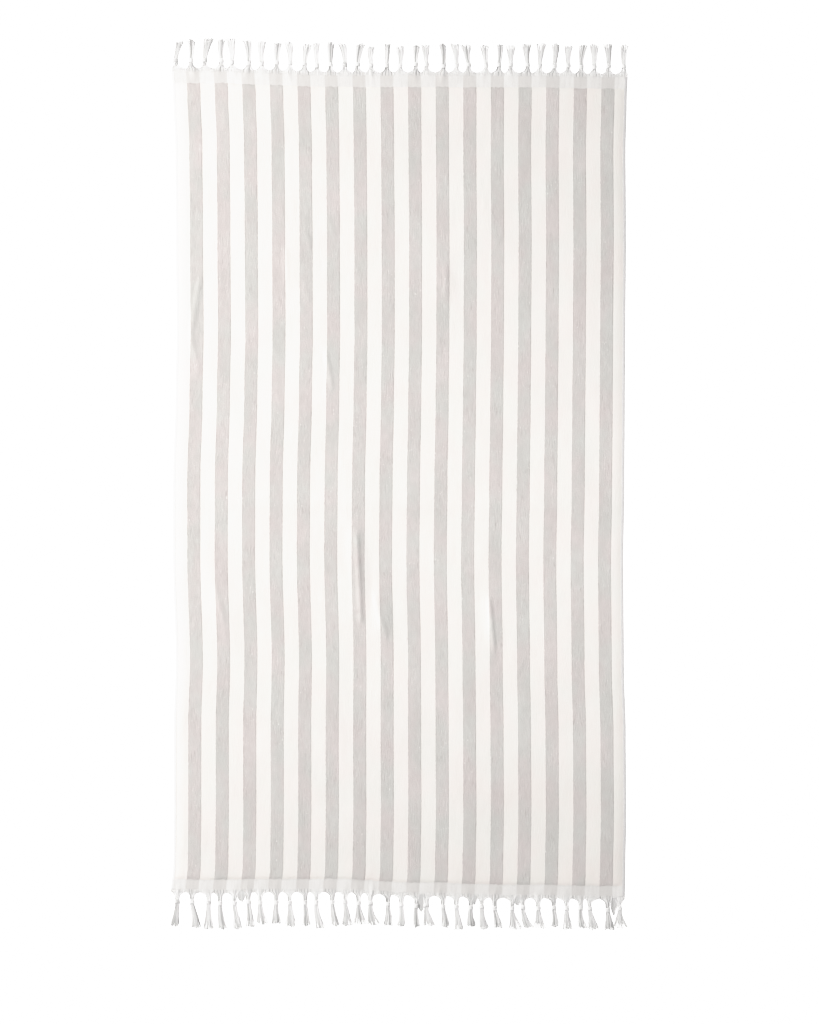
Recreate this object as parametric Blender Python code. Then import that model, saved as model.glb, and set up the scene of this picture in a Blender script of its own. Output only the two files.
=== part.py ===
"""A fringed beach towel laid out flat: a striped pile cloth with a knotted fringe along each end.

X runs across the stripes, Y runs along them towards the head end, and Z is up. The towel lies on z = 0.
Lengths are in metres, and the tables are in millimetres.
"""

import math
from collections import namedtuple

import bmesh
import bpy

MM = 0.001

# The cloth, hem to hem and from the end of one heading to the end of the other
CLOTH_WIDTH = 1.000
CLOTH_LENGTH = 1.815

# The stripes, from the left: white, sand, white and so on, with a white one at each side
SAND_STRIPES = 16
SAND_WIDTH = 0.0288
WHITE_WIDTH = 0.0319
LEFT_STRIPE_WIDTH = 0.0323

# Thicknesses of the pile, of the flat-woven headings and of the folded side hems
PILE_THICKNESS = 3.0 * MM
HEADING_THICKNESS = 1.4 * MM
HEADING_END_THICKNESS = 1.0 * MM
HEM_THICKNESS = 2.6 * MM
HEM_EDGE_THICKNESS = 1.8 * MM
STITCH_THICKNESS = 1.3 * MM

# The side hem from the cloth's edge inwards: its own width, its stitch line and the slope up to the pile
HEM_WIDTH = 7.0 * MM
STITCH_WIDTH = 1.5 * MM
PILE_SLOPE = 2.5 * MM
HEM_PROFILE = (
    (0.0, HEM_EDGE_THICKNESS),
    (HEM_WIDTH, HEM_THICKNESS),
    (HEM_WIDTH + STITCH_WIDTH, STITCH_THICKNESS),
)
PILE_START = HEM_WIDTH + STITCH_WIDTH + PILE_SLOPE

# The flat-woven headings, along the towel
HEAD_HEADING = 0.0280
FOOT_HEADING = 0.0245
END_SLOPE = 3.0 * MM

# Spacing of the rows of faces along the pile
ROW_STEP = 0.090
LEAST_ROW_GAP = 0.022

# The fringe: its gap to the cloth, its strip, and the gathering that leads to each knot
FRINGE_GAP = 0.3 * MM
STRIP_DEPTH = 9.0 * MM
STRIP_THICKNESS = 1.3 * MM
GATHER_HALF_WIDTH = 9.5 * MM
GATHER_SHIFT_SHARE = 0.35
HEAD_GATHER = 7.0 * MM
FOOT_GATHER = 13.0 * MM

# Each tassel splits into four locks that lie side by side
LOCKS = 4
LOCK_GAP = 0.9 * MM
LOCK_TOP_SHARE = 0.62
LOCK_BOW = 1.4 * MM
LOCK_LENGTH_CHANGE = 0.07
LEAN_CURVE = 1.3

# Steps of the waves that make each tassel and each lock a little different
TASSEL_STEP = 2.4
LOCK_STEP = 1.9
BOW_STEP = 1.7

# Faces that meet at more than this angle keep a sharp edge
SHARP_ANGLE = math.radians(40)

# How far the cloth's sides stand outside straight lines, from the foot (0) to the head (1)
Side = namedtuple("Side", "along left right")
SIDES = (
    Side(0.00, 8, -1),
    Side(0.03, 3, 0),
    Side(0.10, 2, 2),
    Side(0.20, 2, 1),
    Side(0.28, -2, -3),
    Side(0.41, 4, -4.5),
    Side(0.50, 4, -2),
    Side(0.60, -1, -1),
    Side(0.68, -3.5, 0),
    Side(0.80, -2, 1.5),
    Side(0.91, -0.5, 0.5),
    Side(0.97, 4, 3),
    Side(1.00, 7, 5),
)

# How far its ends stand above straight lines, from the left (0) to the right (1)
End = namedtuple("End", "across head foot")
ENDS = (
    End(0.00, 7, 7),
    End(0.10, 7, 5),
    End(0.20, 3, 7),
    End(0.35, -2, 7),
    End(0.55, -2, -1),
    End(0.75, -3, -6),
    End(1.00, -6, -9),
)

# Soft ridges where the cloth stands a little off the ground, each from one point to another: the folds
# cross the whole cloth, and the puckers are short
Crease = namedtuple("Crease", "name x0 y0 x1 y1 half_width height")
FOLDS = (
    Crease("middle fold", -620, -38, 620, -52, 26, 1.3),
    Crease("upper fold", -620, 478, 620, 466, 26, 0.7),
)
PUCKERS = (
    Crease("long pucker left of the middle", -105, -70, -80, -300, 30, 1.8),
    Crease("curved pucker at the middle", -52, -215, -30, -350, 30, 2.0),
    Crease("pucker right of the middle", 196, -235, 214, -380, 30, 1.6),
    Crease("upper left pucker", -250, 540, -236, 420, 34, 1.2),
    Crease("upper right pucker", 100, 510, 106, 380, 34, 1.2),
    Crease("left ripple, high", -470, 330, -330, 90, 48, 1.2),
    Crease("left ripple, low", -440, -110, -350, -420, 48, 1.3),
    Crease("right ripple", 390, 120, 420, -200, 44, 0.9),
)
CREASE_FADE = 1.5

# Rings across a tassel's knot, outwards from the end of its gathering. Each is flat underneath and on top,
# and widest a little under half its height
Knot = namedtuple("Knot", "out half_width height")
KNOT = (
    Knot(0.0, 4.2, 3.4),
    Knot(2.0, 5.4, 5.8),
    Knot(6.0, 5.8, 6.4),
    Knot(9.5, 4.9, 4.6),
)
KNOT_END = Knot(11.0, 4.8, 3.8)
KNOT_FLAT_SHARE = 0.6
KNOT_WIDEST_AT = 0.45

# A lock from its root to its tip
Lock = namedtuple("Lock", "along width_share height")
LOCK = (
    Lock(0.34, 1.00, 3.2),
    Lock(0.70, 1.00, 2.6),
    Lock(1.00, 0.72, 1.5),
)

# The tassels from the left: the knot's place beside its stripe's middle, how far the tips lean to the
# right of the knot, how wide they spread, and the length from the cloth's end to the tips
Tassel = namedtuple("Tassel", "shift lean spread length")
HEAD_TASSELS = (
    Tassel(-4, 9, 19, 65),
    Tassel(-5, 2, 17, 69),
    Tassel(-6, 7, 20, 73),
    Tassel(3, -4, 16, 72),
    Tassel(-5, 0, 18, 74),
    Tassel(1, -4, 17, 71),
    Tassel(-1, 0, 17, 71),
    Tassel(2, 2, 16, 67),
    Tassel(-4, 0, 15, 68),
    Tassel(2, 6, 18, 62),
    Tassel(-1, -2, 14, 65),
    Tassel(-2, 0, 16, 67),
    Tassel(-1, -5, 16, 65),
    Tassel(-3, 6, 17, 65),
    Tassel(-4, 0, 14, 60),
    Tassel(0, 2, 13, 66),
    Tassel(-1, 0, 17, 64),
    Tassel(3, 2, 13, 65),
    Tassel(-4, -2, 17, 67),
    Tassel(3, -2, 14, 69),
    Tassel(1, -4, 18, 70),
    Tassel(-3, -6, 20, 68),
    Tassel(5, -4, 18, 67),
    Tassel(3, 3, 13, 69),
    Tassel(-2, 0, 20, 67),
    Tassel(5, -2, 18, 70),
    Tassel(1, 4, 20, 71),
    Tassel(3, 3, 15, 71),
    Tassel(3, 0, 16, 67),
    Tassel(1, 5, 18, 70),
    Tassel(-1, -1, 18, 72),
    Tassel(0, -2, 17, 73),
    Tassel(5, 2, 17, 71),
)
FOOT_TASSELS = (
    Tassel(-4, -6, 18, 82),
    Tassel(-2, 9, 19, 85),
    Tassel(3, 1, 20, 87),
    Tassel(-2, 6, 18, 86),
    Tassel(-1, 9, 18, 87),
    Tassel(-3, 7, 22, 78),
    Tassel(-2, 3, 18, 73),
    Tassel(3, 0, 14, 72),
    Tassel(-3, 4, 20, 76),
    Tassel(4, 4, 16, 75),
    Tassel(-5, 9, 19, 83),
    Tassel(2, 6, 20, 78),
    Tassel(-2, 3, 21, 74),
    Tassel(-3, 8, 23, 70),
    Tassel(-6, 11, 21, 69),
    Tassel(4, 1, 18, 72),
    Tassel(-1, 2, 20, 72),
    Tassel(4, 0, 14, 76),
    Tassel(-8, 9, 22, 70),
    Tassel(-2, 9, 18, 75),
    Tassel(1, 8, 20, 78),
    Tassel(-1, 6, 19, 74),
    Tassel(-4, 7, 21, 77),
    Tassel(-4, 4, 20, 73),
    Tassel(-1, 4, 18, 76),
    Tassel(0, 7, 21, 72),
    Tassel(-2, 2, 22, 74),
    Tassel(2, 2, 16, 71),
    Tassel(-3, 6, 23, 75),
    Tassel(-2, 8, 18, 70),
    Tassel(-5, 5, 24, 72),
    Tassel(-1, 9, 22, 74),
    Tassel(-1, 7, 20, 70),
)

# Plain colours of the yarns, and how rough they are
WHITE_YARN = (0.90, 0.89, 0.87, 1.0)
SAND_YARN = (0.72, 0.68, 0.64, 1.0)
HEADING_YARN = (0.84, 0.82, 0.79, 1.0)
FRINGE_YARN = (0.86, 0.85, 0.83, 1.0)
YARN_ROUGHNESS = 0.9


def clear_scene():
    """Removes every object that the file opened with."""
    for obj in list(bpy.data.objects):
        bpy.data.objects.remove(obj, do_unlink=True)


def yarn_material(name, colour):
    """A matt material in one colour of yarn."""
    material = bpy.data.materials.new(name)
    material.use_nodes = True
    material.diffuse_color = colour
    shader = material.node_tree.nodes["Principled BSDF"]
    shader.inputs["Base Color"].default_value = colour
    shader.inputs["Roughness"].default_value = YARN_ROUGHNESS
    shader.inputs["Metallic"].default_value = 0.0
    return material


def ease(share):
    """A soft step from 0 to 1."""
    share = min(max(share, 0.0), 1.0)
    return share * share * (3.0 - 2.0 * share)


def read_table(rows, at, column):
    """A table's value at a place in its first column, eased from row to row."""
    for low, high in zip(rows, rows[1:]):
        if at <= high[0]:
            share = ease((at - low[0]) / (high[0] - low[0]))
            start = getattr(low, column)
            return start + (getattr(high, column) - start) * share
    return getattr(rows[-1], column)


def place(across, along):
    """Where a point of the cloth lies, from its shares of the width and of the length."""
    left = -CLOTH_WIDTH / 2 - read_table(SIDES, along, "left") * MM
    right = CLOTH_WIDTH / 2 + read_table(SIDES, along, "right") * MM
    foot = -CLOTH_LENGTH / 2 + read_table(ENDS, across, "foot") * MM
    head = CLOTH_LENGTH / 2 + read_table(ENDS, across, "head") * MM
    return left + (right - left) * across, foot + (head - foot) * along


def crease_height(crease, x, y):
    """How far one crease lifts the cloth at a point: a round ridge that fades at its ends."""
    run = (crease.x1 - crease.x0, crease.y1 - crease.y0)
    length = math.hypot(*run)
    out = (x / MM - crease.x0, y / MM - crease.y0)
    along = (out[0] * run[0] + out[1] * run[1]) / length
    away = abs(out[0] * run[1] - out[1] * run[0]) / length
    fade = ease(min(along, length - along) / (CREASE_FADE * crease.half_width))
    return crease.height * fade * ease(1.0 - away / crease.half_width)


def lift(x, y):
    """How far the cloth stands off the ground at a point."""
    return max(crease_height(crease, x, y) for crease in FOLDS + PUCKERS) * MM


def stripe_edges():
    """Distances from the left side to each line between two stripes."""
    edges = [LEFT_STRIPE_WIDTH]
    for _ in range(SAND_STRIPES):
        edges.append(edges[-1] + SAND_WIDTH)
        edges.append(edges[-1] + WHITE_WIDTH)
    return edges[:-1]


def columns():
    """Distances from the left side to each line of points along the cloth."""
    hem = [line for line, _ in HEM_PROFILE] + [PILE_START]
    right = [CLOTH_WIDTH - line for line in reversed(hem)]
    return hem + stripe_edges() + right


def pile_rows():
    """Distances from the foot to each line of points across the pile, closer at the two folds."""
    start = FOOT_HEADING + END_SLOPE
    end = CLOTH_LENGTH - HEAD_HEADING - END_SLOPE
    kept = []
    for fold in FOLDS:
        middle = CLOTH_LENGTH / 2 + (fold.y0 + fold.y1) / 2 * MM
        width = fold.half_width * MM
        kept += [middle - width, middle, middle + width]
    steps = round((end - start) / ROW_STEP)
    for step in range(1, steps):
        row = start + (end - start) * step / steps
        if min(abs(row - other) for other in kept) > LEAST_ROW_GAP:
            kept.append(row)
    return [start] + sorted(kept) + [end]


def rows():
    """Distances from the foot to each line of points across the cloth, headings included."""
    foot = [0.0, END_SLOPE, FOOT_HEADING]
    head = [CLOTH_LENGTH - HEAD_HEADING, CLOTH_LENGTH - END_SLOPE, CLOTH_LENGTH]
    return foot + pile_rows() + head


def thickness(side, row):
    """The cloth's thickness, from the distances to its nearer side and to its foot."""
    for line, value in HEM_PROFILE:
        if math.isclose(side, line, abs_tol=0.1 * MM):
            return value
    if row in (0.0, CLOTH_LENGTH):
        return HEADING_END_THICKNESS
    if row <= FOOT_HEADING or row >= CLOTH_LENGTH - HEAD_HEADING:
        return HEADING_THICKNESS
    return PILE_THICKNESS


def material_slot(side_line, row):
    """Which yarn a face shows, from its middle: 0 for white pile, 1 for sand pile, 2 for the heading."""
    if row < FOOT_HEADING or row > CLOTH_LENGTH - HEAD_HEADING:
        return 2
    return sum(side_line > edge for edge in stripe_edges()) % 2


def lay_grid(mesh, across_lines, along_lines, on_top):
    """Rows of points over the cloth's top or its underside."""
    grid = []
    for along_line in along_lines:
        line = []
        for across_line in across_lines:
            x, y = place(across_line / CLOTH_WIDTH, along_line / CLOTH_LENGTH)
            side = min(across_line, CLOTH_WIDTH - across_line)
            z = lift(x, y) + (thickness(side, along_line) if on_top else 0.0)
            line.append(mesh.verts.new((x, y, z)))
        grid.append(line)
    return grid


def rim(grid):
    """The points round a grid, in order."""
    left = [line[0] for line in grid[-2:0:-1]]
    right = [line[-1] for line in grid[1:-1]]
    return grid[0] + right + grid[-1][::-1] + left


def make_cloth(parent):
    """The cloth: one sheet with pile, headings and hems, its underside flat but for the creases."""
    mesh = bmesh.new()
    across_lines = columns()
    along_lines = rows()
    top = lay_grid(mesh, across_lines, along_lines, on_top=True)
    under = lay_grid(mesh, across_lines, along_lines, on_top=False)
    for i in range(len(along_lines) - 1):
        middle_row = (along_lines[i] + along_lines[i + 1]) / 2
        for j in range(len(across_lines) - 1):
            slot = material_slot((across_lines[j] + across_lines[j + 1]) / 2, middle_row)
            upper = mesh.faces.new((top[i][j], top[i][j + 1], top[i + 1][j + 1], top[i + 1][j]))
            lower = mesh.faces.new((under[i][j], under[i + 1][j], under[i + 1][j + 1], under[i][j + 1]))
            upper.material_index = slot
            lower.material_index = slot
    upper_rim = rim(top)
    lower_rim = rim(under)
    for k in range(len(upper_rim)):
        mesh.faces.new((upper_rim[k - 1], lower_rim[k - 1], lower_rim[k], upper_rim[k]))
    slots = (
        yarn_material("white_pile", WHITE_YARN),
        yarn_material("sand_pile", SAND_YARN),
        yarn_material("flat_heading", HEADING_YARN),
    )
    return finish("towel_cloth", mesh, slots, parent)


def finish(name, mesh, materials, parent):
    """Makes a named object from points and faces, facing out, smooth but for its sharp edges."""
    bmesh.ops.recalc_face_normals(mesh, faces=mesh.faces)
    data = bpy.data.meshes.new(name)
    mesh.to_mesh(data)
    mesh.free()
    for material in materials:
        data.materials.append(material)
    data.shade_smooth()
    data.set_sharp_from_angle(angle=SHARP_ANGLE)
    obj = bpy.data.objects.new(name, data)
    bpy.context.scene.collection.objects.link(obj)
    obj.parent = parent
    return obj


class FringeEnd:
    """One end's fringe: a narrow strip along the cloth's edge, with a knotted tassel on each stripe."""

    def __init__(self, tassels, at_head, gather):
        """Takes the end's tassels, whether it is the head end, and its gathering's length."""
        self.tassels = tassels
        self.along = 1.0 if at_head else 0.0
        self.outward = 1.0 if at_head else -1.0
        self.gather = gather
        self.mesh = bmesh.new()

    def edge_at(self, across_line):
        """The point of the cloth's end edge at a distance from its left side."""
        return place(across_line / CLOTH_WIDTH, self.along)

    def point(self, x, edge_y, out, z):
        """Adds a point at a distance outwards from the cloth's edge."""
        return self.mesh.verts.new((x, edge_y + self.outward * out, z))

    def boundary(self, across_line):
        """The strip's four points at one line between stripes: back and front, each under and top."""
        x, y = self.edge_at(across_line)
        front = FRINGE_GAP + STRIP_DEPTH
        levels = (0.0, STRIP_THICKNESS)
        return [[self.point(x, y, out, z) for z in levels] for out in (FRINGE_GAP, front)]

    def gather_root(self, x, edge_y):
        """The ring of six points where the strip's front edge opens into a tassel's gathering."""
        half = GATHER_HALF_WIDTH
        top = STRIP_THICKNESS
        shape = ((-half, 0.0), (half, 0.0), (half, top / 2), (half, top), (-half, top), (-half, top / 2))
        out = FRINGE_GAP + STRIP_DEPTH
        return [self.point(x + dx, edge_y, out, z) for dx, z in shape]

    def knot_ring(self, x, edge_y, out, half_width, height):
        """A ring of six points round a gathered or knotted bundle that lies on the ground."""
        flat = half_width * KNOT_FLAT_SHARE
        widest = height * KNOT_WIDEST_AT
        shape = (
            (-flat, 0.0),
            (flat, 0.0),
            (half_width, widest),
            (flat, height),
            (-flat, height),
            (-half_width, widest),
        )
        return [self.point(x + dx, edge_y, out, z) for dx, z in shape]

    def bridge(self, first, second):
        """Joins two rings that have as many points."""
        for k in range(len(first)):
            self.mesh.faces.new((first[k - 1], first[k], second[k], second[k - 1]))

    def strip_cell(self, left, right, root):
        """The strip between two lines, with an opening in its front edge for the gathering."""
        (back_under_l, back_top_l), (front_under_l, front_top_l) = left
        (back_under_r, back_top_r), (front_under_r, front_top_r) = right
        under_l, under_r, middle_r, top_r, top_l, middle_l = root
        new = self.mesh.faces.new
        new((back_top_l, back_top_r, front_top_r, top_r, top_l, front_top_l))
        new((back_under_l, front_under_l, under_l, under_r, front_under_r, back_under_r))
        new((back_under_l, back_under_r, back_top_r, back_top_l))
        new((front_under_l, front_top_l, top_l, middle_l, under_l))
        new((front_under_r, under_r, middle_r, top_r, front_top_r))

    def end_of_knot(self, ring, x, edge_y, out):
        """Closes the knot on a row of points that the locks start from, and returns that row."""
        half = KNOT_END.half_width * MM
        row = []
        for k in range(LOCKS + 1):
            dx = half * (2.0 * k / LOCKS - 1.0)
            under = self.point(x + dx, edge_y, out, 0.0)
            top = self.point(x + dx, edge_y, out, KNOT_END.height * MM)
            row.append((under, top))
        under_l, under_r, middle_r, top_r, top_l, middle_l = ring
        new = self.mesh.faces.new
        new([under_l, under_r] + [under for under, _ in reversed(row)])
        new([top_r, top_l] + [top for _, top in row])
        new((under_r, middle_r, row[-1][0]))
        new((middle_r, row[-1][1], row[-1][0]))
        new((middle_r, top_r, row[-1][1]))
        new((under_l, row[0][0], middle_l))
        new((middle_l, row[0][0], row[0][1]))
        new((middle_l, row[0][1], top_l))
        return row

    def lock(self, start, centre, half_widths, outs, edge_y):
        """One lock: four-sided rings from its root on the knot to its tip, all level on the ground."""
        (under_l, top_l), (under_r, top_r) = start
        ring = [under_l, under_r, top_r, top_l]
        for section, x, half, out in zip(LOCK, centre, half_widths, outs):
            top = half * LOCK_TOP_SHARE
            height = section.height * MM
            shape = ((-half, 0.0), (half, 0.0), (top, height), (-top, height))
            following = [self.point(x + dx, edge_y, out, z) for dx, z in shape]
            self.bridge(ring, following)
            ring = following
        self.mesh.faces.new(ring)

    def locks(self, row, index, x, edge_y, out):
        """The tassel's four locks, spread like a fan towards the leaning tips."""
        tassel = self.tassels[index]
        length = tassel.length * MM - out
        bow = LOCK_BOW * math.sin(BOW_STEP * index)
        for number in range(LOCKS):
            side = (2 * number + 1) / LOCKS - 1.0
            wave = (1.0 + math.sin(TASSEL_STEP * index + LOCK_STEP * number)) / 2
            reach = length * (1.0 - LOCK_LENGTH_CHANGE * wave)
            centres = []
            half_widths = []
            for section in LOCK:
                fan = KNOT_END.half_width * MM * (1.0 - section.along)
                fan += tassel.spread * MM / 2 * section.along
                lean = tassel.lean * MM * section.along ** LEAN_CURVE
                bend = bow * math.sin(math.pi * section.along)
                centres.append(x + lean + bend + fan * side)
                half_widths.append((fan / LOCKS - LOCK_GAP / 2) * section.width_share)
            outs = [out + reach * section.along for section in LOCK]
            self.lock((row[number], row[number + 1]), centres, half_widths, outs, edge_y)

    def tassel(self, index, left_line, right_line):
        """One tassel: gathering, knot and locks. Returns the ring that opens the strip's front edge."""
        shift = self.tassels[index].shift * MM
        edge_x, edge_y = self.edge_at((left_line + right_line) / 2)
        root = self.gather_root(edge_x + shift * GATHER_SHIFT_SHARE, edge_y)
        x = edge_x + shift
        start = FRINGE_GAP + STRIP_DEPTH + self.gather
        ring = root
        for section in KNOT:
            out = start + section.out * MM
            following = self.knot_ring(x, edge_y, out, section.half_width * MM, section.height * MM)
            self.bridge(ring, following)
            ring = following
        out = start + KNOT_END.out * MM
        row = self.end_of_knot(ring, x, edge_y, out)
        self.locks(row, index, x, edge_y, out)
        return root

    def build(self, name, parent):
        """Makes the whole fringe as one object."""
        lines = [0.0] + stripe_edges() + [CLOTH_WIDTH]
        bounds = [self.boundary(line) for line in lines]
        for index in range(len(self.tassels)):
            root = self.tassel(index, lines[index], lines[index + 1])
            self.strip_cell(bounds[index], bounds[index + 1], root)
        for (back_under, back_top), (front_under, front_top) in (bounds[0], bounds[-1]):
            self.mesh.faces.new((back_under, back_top, front_top, front_under))
        return finish(name, self.mesh, (yarn_material(name + "_yarn", FRINGE_YARN),), parent)


def centre_on_origin(parent, pieces):
    """Moves the whole towel so that its outline's middle is over the origin."""
    points = [vertex.co for piece in pieces for vertex in piece.data.vertices]
    parent.location.x = -(min(p.x for p in points) + max(p.x for p in points)) / 2
    parent.location.y = -(min(p.y for p in points) + max(p.y for p in points)) / 2


def main():
    """Builds the cloth and its two fringes under one empty."""
    clear_scene()
    towel = bpy.data.objects.new("towel", None)
    bpy.context.scene.collection.objects.link(towel)
    pieces = [
        make_cloth(towel),
        FringeEnd(HEAD_TASSELS, True, HEAD_GATHER).build("fringe_head_end", towel),
        FringeEnd(FOOT_TASSELS, False, FOOT_GATHER).build("fringe_foot_end", towel),
    ]
    centre_on_origin(towel, pieces)


main()
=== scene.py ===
import logging
import math
from collections import namedtuple
from dataclasses import dataclass, field
from enum import Enum

import bpy
import numpy as np
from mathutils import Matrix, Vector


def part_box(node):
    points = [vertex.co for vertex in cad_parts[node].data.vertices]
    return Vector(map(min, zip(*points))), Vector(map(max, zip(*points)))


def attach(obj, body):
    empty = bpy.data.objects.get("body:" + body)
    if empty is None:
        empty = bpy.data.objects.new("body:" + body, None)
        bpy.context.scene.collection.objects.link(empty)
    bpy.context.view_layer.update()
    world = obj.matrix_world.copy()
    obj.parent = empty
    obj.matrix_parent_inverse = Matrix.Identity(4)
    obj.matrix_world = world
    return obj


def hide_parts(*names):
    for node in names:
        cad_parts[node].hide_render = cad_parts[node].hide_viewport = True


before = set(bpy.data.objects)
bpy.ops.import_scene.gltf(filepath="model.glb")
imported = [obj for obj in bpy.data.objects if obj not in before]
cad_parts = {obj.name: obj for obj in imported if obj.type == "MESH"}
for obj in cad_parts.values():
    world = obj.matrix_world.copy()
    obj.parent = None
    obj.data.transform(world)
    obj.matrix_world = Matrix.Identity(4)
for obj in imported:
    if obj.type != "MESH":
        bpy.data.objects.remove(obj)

MM = 0.001
IMAGE_HEIGHT = 1024
WHITE = (1.0, 1.0, 1.0, 1.0)
PLACE_NAME = "cloth_place"
YARN_MAP = "yarn_lie"
# The yarns' share of the dark yarn colour: sand yarn with painted shade
SAND_AND_SHADE_SHARE = "yarn_sand_and_shade"
BAKE_MAP = "OFBake"
NOISE_LATTICE = 257
# The colour sockets of the Mix node, and the tone curve that bends all three colours alike
MIX_FIRST = 6
MIX_SECOND = 7
MIX_RESULT = 2
ALL_COLOURS = 3

log = logging.getLogger("beach_towel")

# How far the cloth's sides stand outside straight lines, in mm, from the foot (0) to the head (1)
Side = namedtuple("Side", "along left right")
SIDES = (
    Side(0.00, 8, -1),
    Side(0.03, 3, 0),
    Side(0.10, 2, 2),
    Side(0.20, 2, 1),
    Side(0.28, -2, -3),
    Side(0.41, 4, -4.5),
    Side(0.50, 4, -2),
    Side(0.60, -1, -1),
    Side(0.68, -3.5, 0),
    Side(0.80, -2, 1.5),
    Side(0.91, -0.5, 0.5),
    Side(0.97, 4, 3),
    Side(1.00, 7, 5),
)

# How far its ends stand above straight lines, in mm, from the left (0) to the right (1)
Across = namedtuple("Across", "across head foot")
ENDS = (
    Across(0.00, 7, 7),
    Across(0.10, 7, 5),
    Across(0.20, 3, 7),
    Across(0.35, -2, 7),
    Across(0.55, -2, -1),
    Across(0.75, -3, -6),
    Across(1.00, -6, -9),
)

# Soft ridges, in mm from the cloth's middle: the folds cross the whole cloth, and the puckers are short
Crease = namedtuple("Crease", "name x0 y0 x1 y1 half_width height")
CREASES = (
    Crease("middle fold", -620, -38, 620, -52, 26, 1.3),
    Crease("upper fold", -620, 478, 620, 466, 26, 0.7),
    Crease("long pucker left of the middle", -105, -70, -80, -300, 30, 1.8),
    Crease("curved pucker at the middle", -52, -215, -30, -350, 30, 2.0),
    Crease("pucker right of the middle", 196, -235, 214, -380, 30, 1.6),
    Crease("upper left pucker", -250, 540, -236, 420, 34, 1.2),
    Crease("upper right pucker", 100, 510, 106, 380, 34, 1.2),
    Crease("left ripple, high", -470, 330, -330, 90, 48, 1.2),
    Crease("left ripple, low", -440, -110, -350, -420, 48, 1.3),
    Crease("right ripple", 390, 120, 420, -200, 44, 0.9),
)
CREASE_FADE = 1.5

# Narrow puckers on top of those, in the same columns
PUCKERS = (
    Crease("long pucker left of the middle", -96, -106, -86, -314, 9, 2.1),
    Crease("curved pucker, upper half", -55, -250, -45, -302, 8, 1.1),
    Crease("curved pucker, lower half", -46, -294, -27, -348, 7, 1.8),
    Crease("pucker right of the middle", 197, -250, 209, -374, 8, 2.1),
    Crease("left zigzag, upper half", -441, 462, -465, 322, 10, 1.1),
    Crease("left zigzag, lower half", -465, 330, -443, 240, 10, 1.1),
    Crease("wrinkle in the second sand stripe", -410, -235, -388, -306, 8, 1.0),
    Crease("wrinkle in the fifth sand stripe, high", -213, 570, -195, 515, 7, 1.0),
    Crease("wrinkle in the fifth sand stripe, low", -215, 452, -199, 394, 7, 0.9),
    Crease("wrinkle in the sixth sand stripe, high", -157, 576, -140, 545, 6, 1.0),
    Crease("wrinkle in the sixth sand stripe, low", -166, 297, -148, 204, 8, 1.3),
    Crease("upper left spot", -254, 525, -251, 440, 10, 0.9),
    Crease("upper right spot", 101, 490, 104, 396, 10, 0.9),
)

# Thickness by the distance from the cloth's side, both in mm: rolled edge, hem and stitch line
Step = namedtuple("Step", "distance thickness")
HEM_PROFILE = (
    Step(0.0, 0.55),
    Step(0.5, 0.82),
    Step(1.5, 1.12),
    Step(3.0, 1.52),
    Step(4.2, 1.76),
    Step(5.2, 1.88),
    Step(6.0, 1.86),
    Step(6.6, 1.86),
)
# From the stitch line inwards: how much of the way to the full thickness it has come, from 0 to 1
PILE_SIDE = (Step(6.6, 0.0), Step(8.0, 0.16), Step(11.0, 0.46), Step(16.0, 0.78), Step(24.0, 1.0))
# Thickness in mm by the distance from the cloth's end, and by the distance past the heading
HEADING_PROFILE = (Step(0.0, 1.18), Step(0.7, 1.22), Step(2.0, 1.32), Step(6.0, 1.40))
PILE_END = (
    Step(-4.0, 1.40),
    Step(-2.4, 1.45),
    Step(-0.8, 1.60),
    Step(0.8, 2.00),
    Step(2.6, 2.45),
    Step(5.0, 2.82),
    Step(9.0, 3.00),
)

# The tassels from the left, in mm: the knot's place beside its stripe's middle, how far the tips lean to
# the right of the knot, how wide they spread, and the length from the cloth's end to the tips
Tassel = namedtuple("Tassel", "shift lean spread length")
HEAD_TASSELS = (
    Tassel(-7, 9, 15, 65),
    Tassel(-4, 0, 14, 69),
    Tassel(-4, 8, 20, 73),
    Tassel(2, -1, 15, 70),
    Tassel(-5, -3, 20, 74),
    Tassel(1, -4, 17, 71),
    Tassel(-1, 0, 17, 71),
    Tassel(2, 2, 16, 67),
    Tassel(1, -4, 17, 70),
    Tassel(2, 6, 18, 66),
    Tassel(-1, -2, 14, 70),
    Tassel(-2, 0, 16, 72),
    Tassel(-1, -5, 16, 69),
    Tassel(-3, 6, 17, 69),
    Tassel(-4, 0, 14, 63),
    Tassel(0, 2, 13, 69),
    Tassel(-1, 0, 17, 64),
    Tassel(3, 2, 13, 65),
    Tassel(-4, -2, 17, 67),
    Tassel(3, -2, 14, 69),
    Tassel(1, -4, 18, 70),
    Tassel(-3, -6, 20, 68),
    Tassel(5, -4, 18, 67),
    Tassel(3, 3, 13, 69),
    Tassel(-2, 0, 20, 67),
    Tassel(5, -2, 18, 70),
    Tassel(1, 4, 20, 71),
    Tassel(3, 3, 15, 71),
    Tassel(3, 0, 16, 67),
    Tassel(1, 5, 18, 70),
    Tassel(-1, -1, 18, 72),
    Tassel(0, -2, 17, 73),
    Tassel(5, 2, 17, 71),
)
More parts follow.
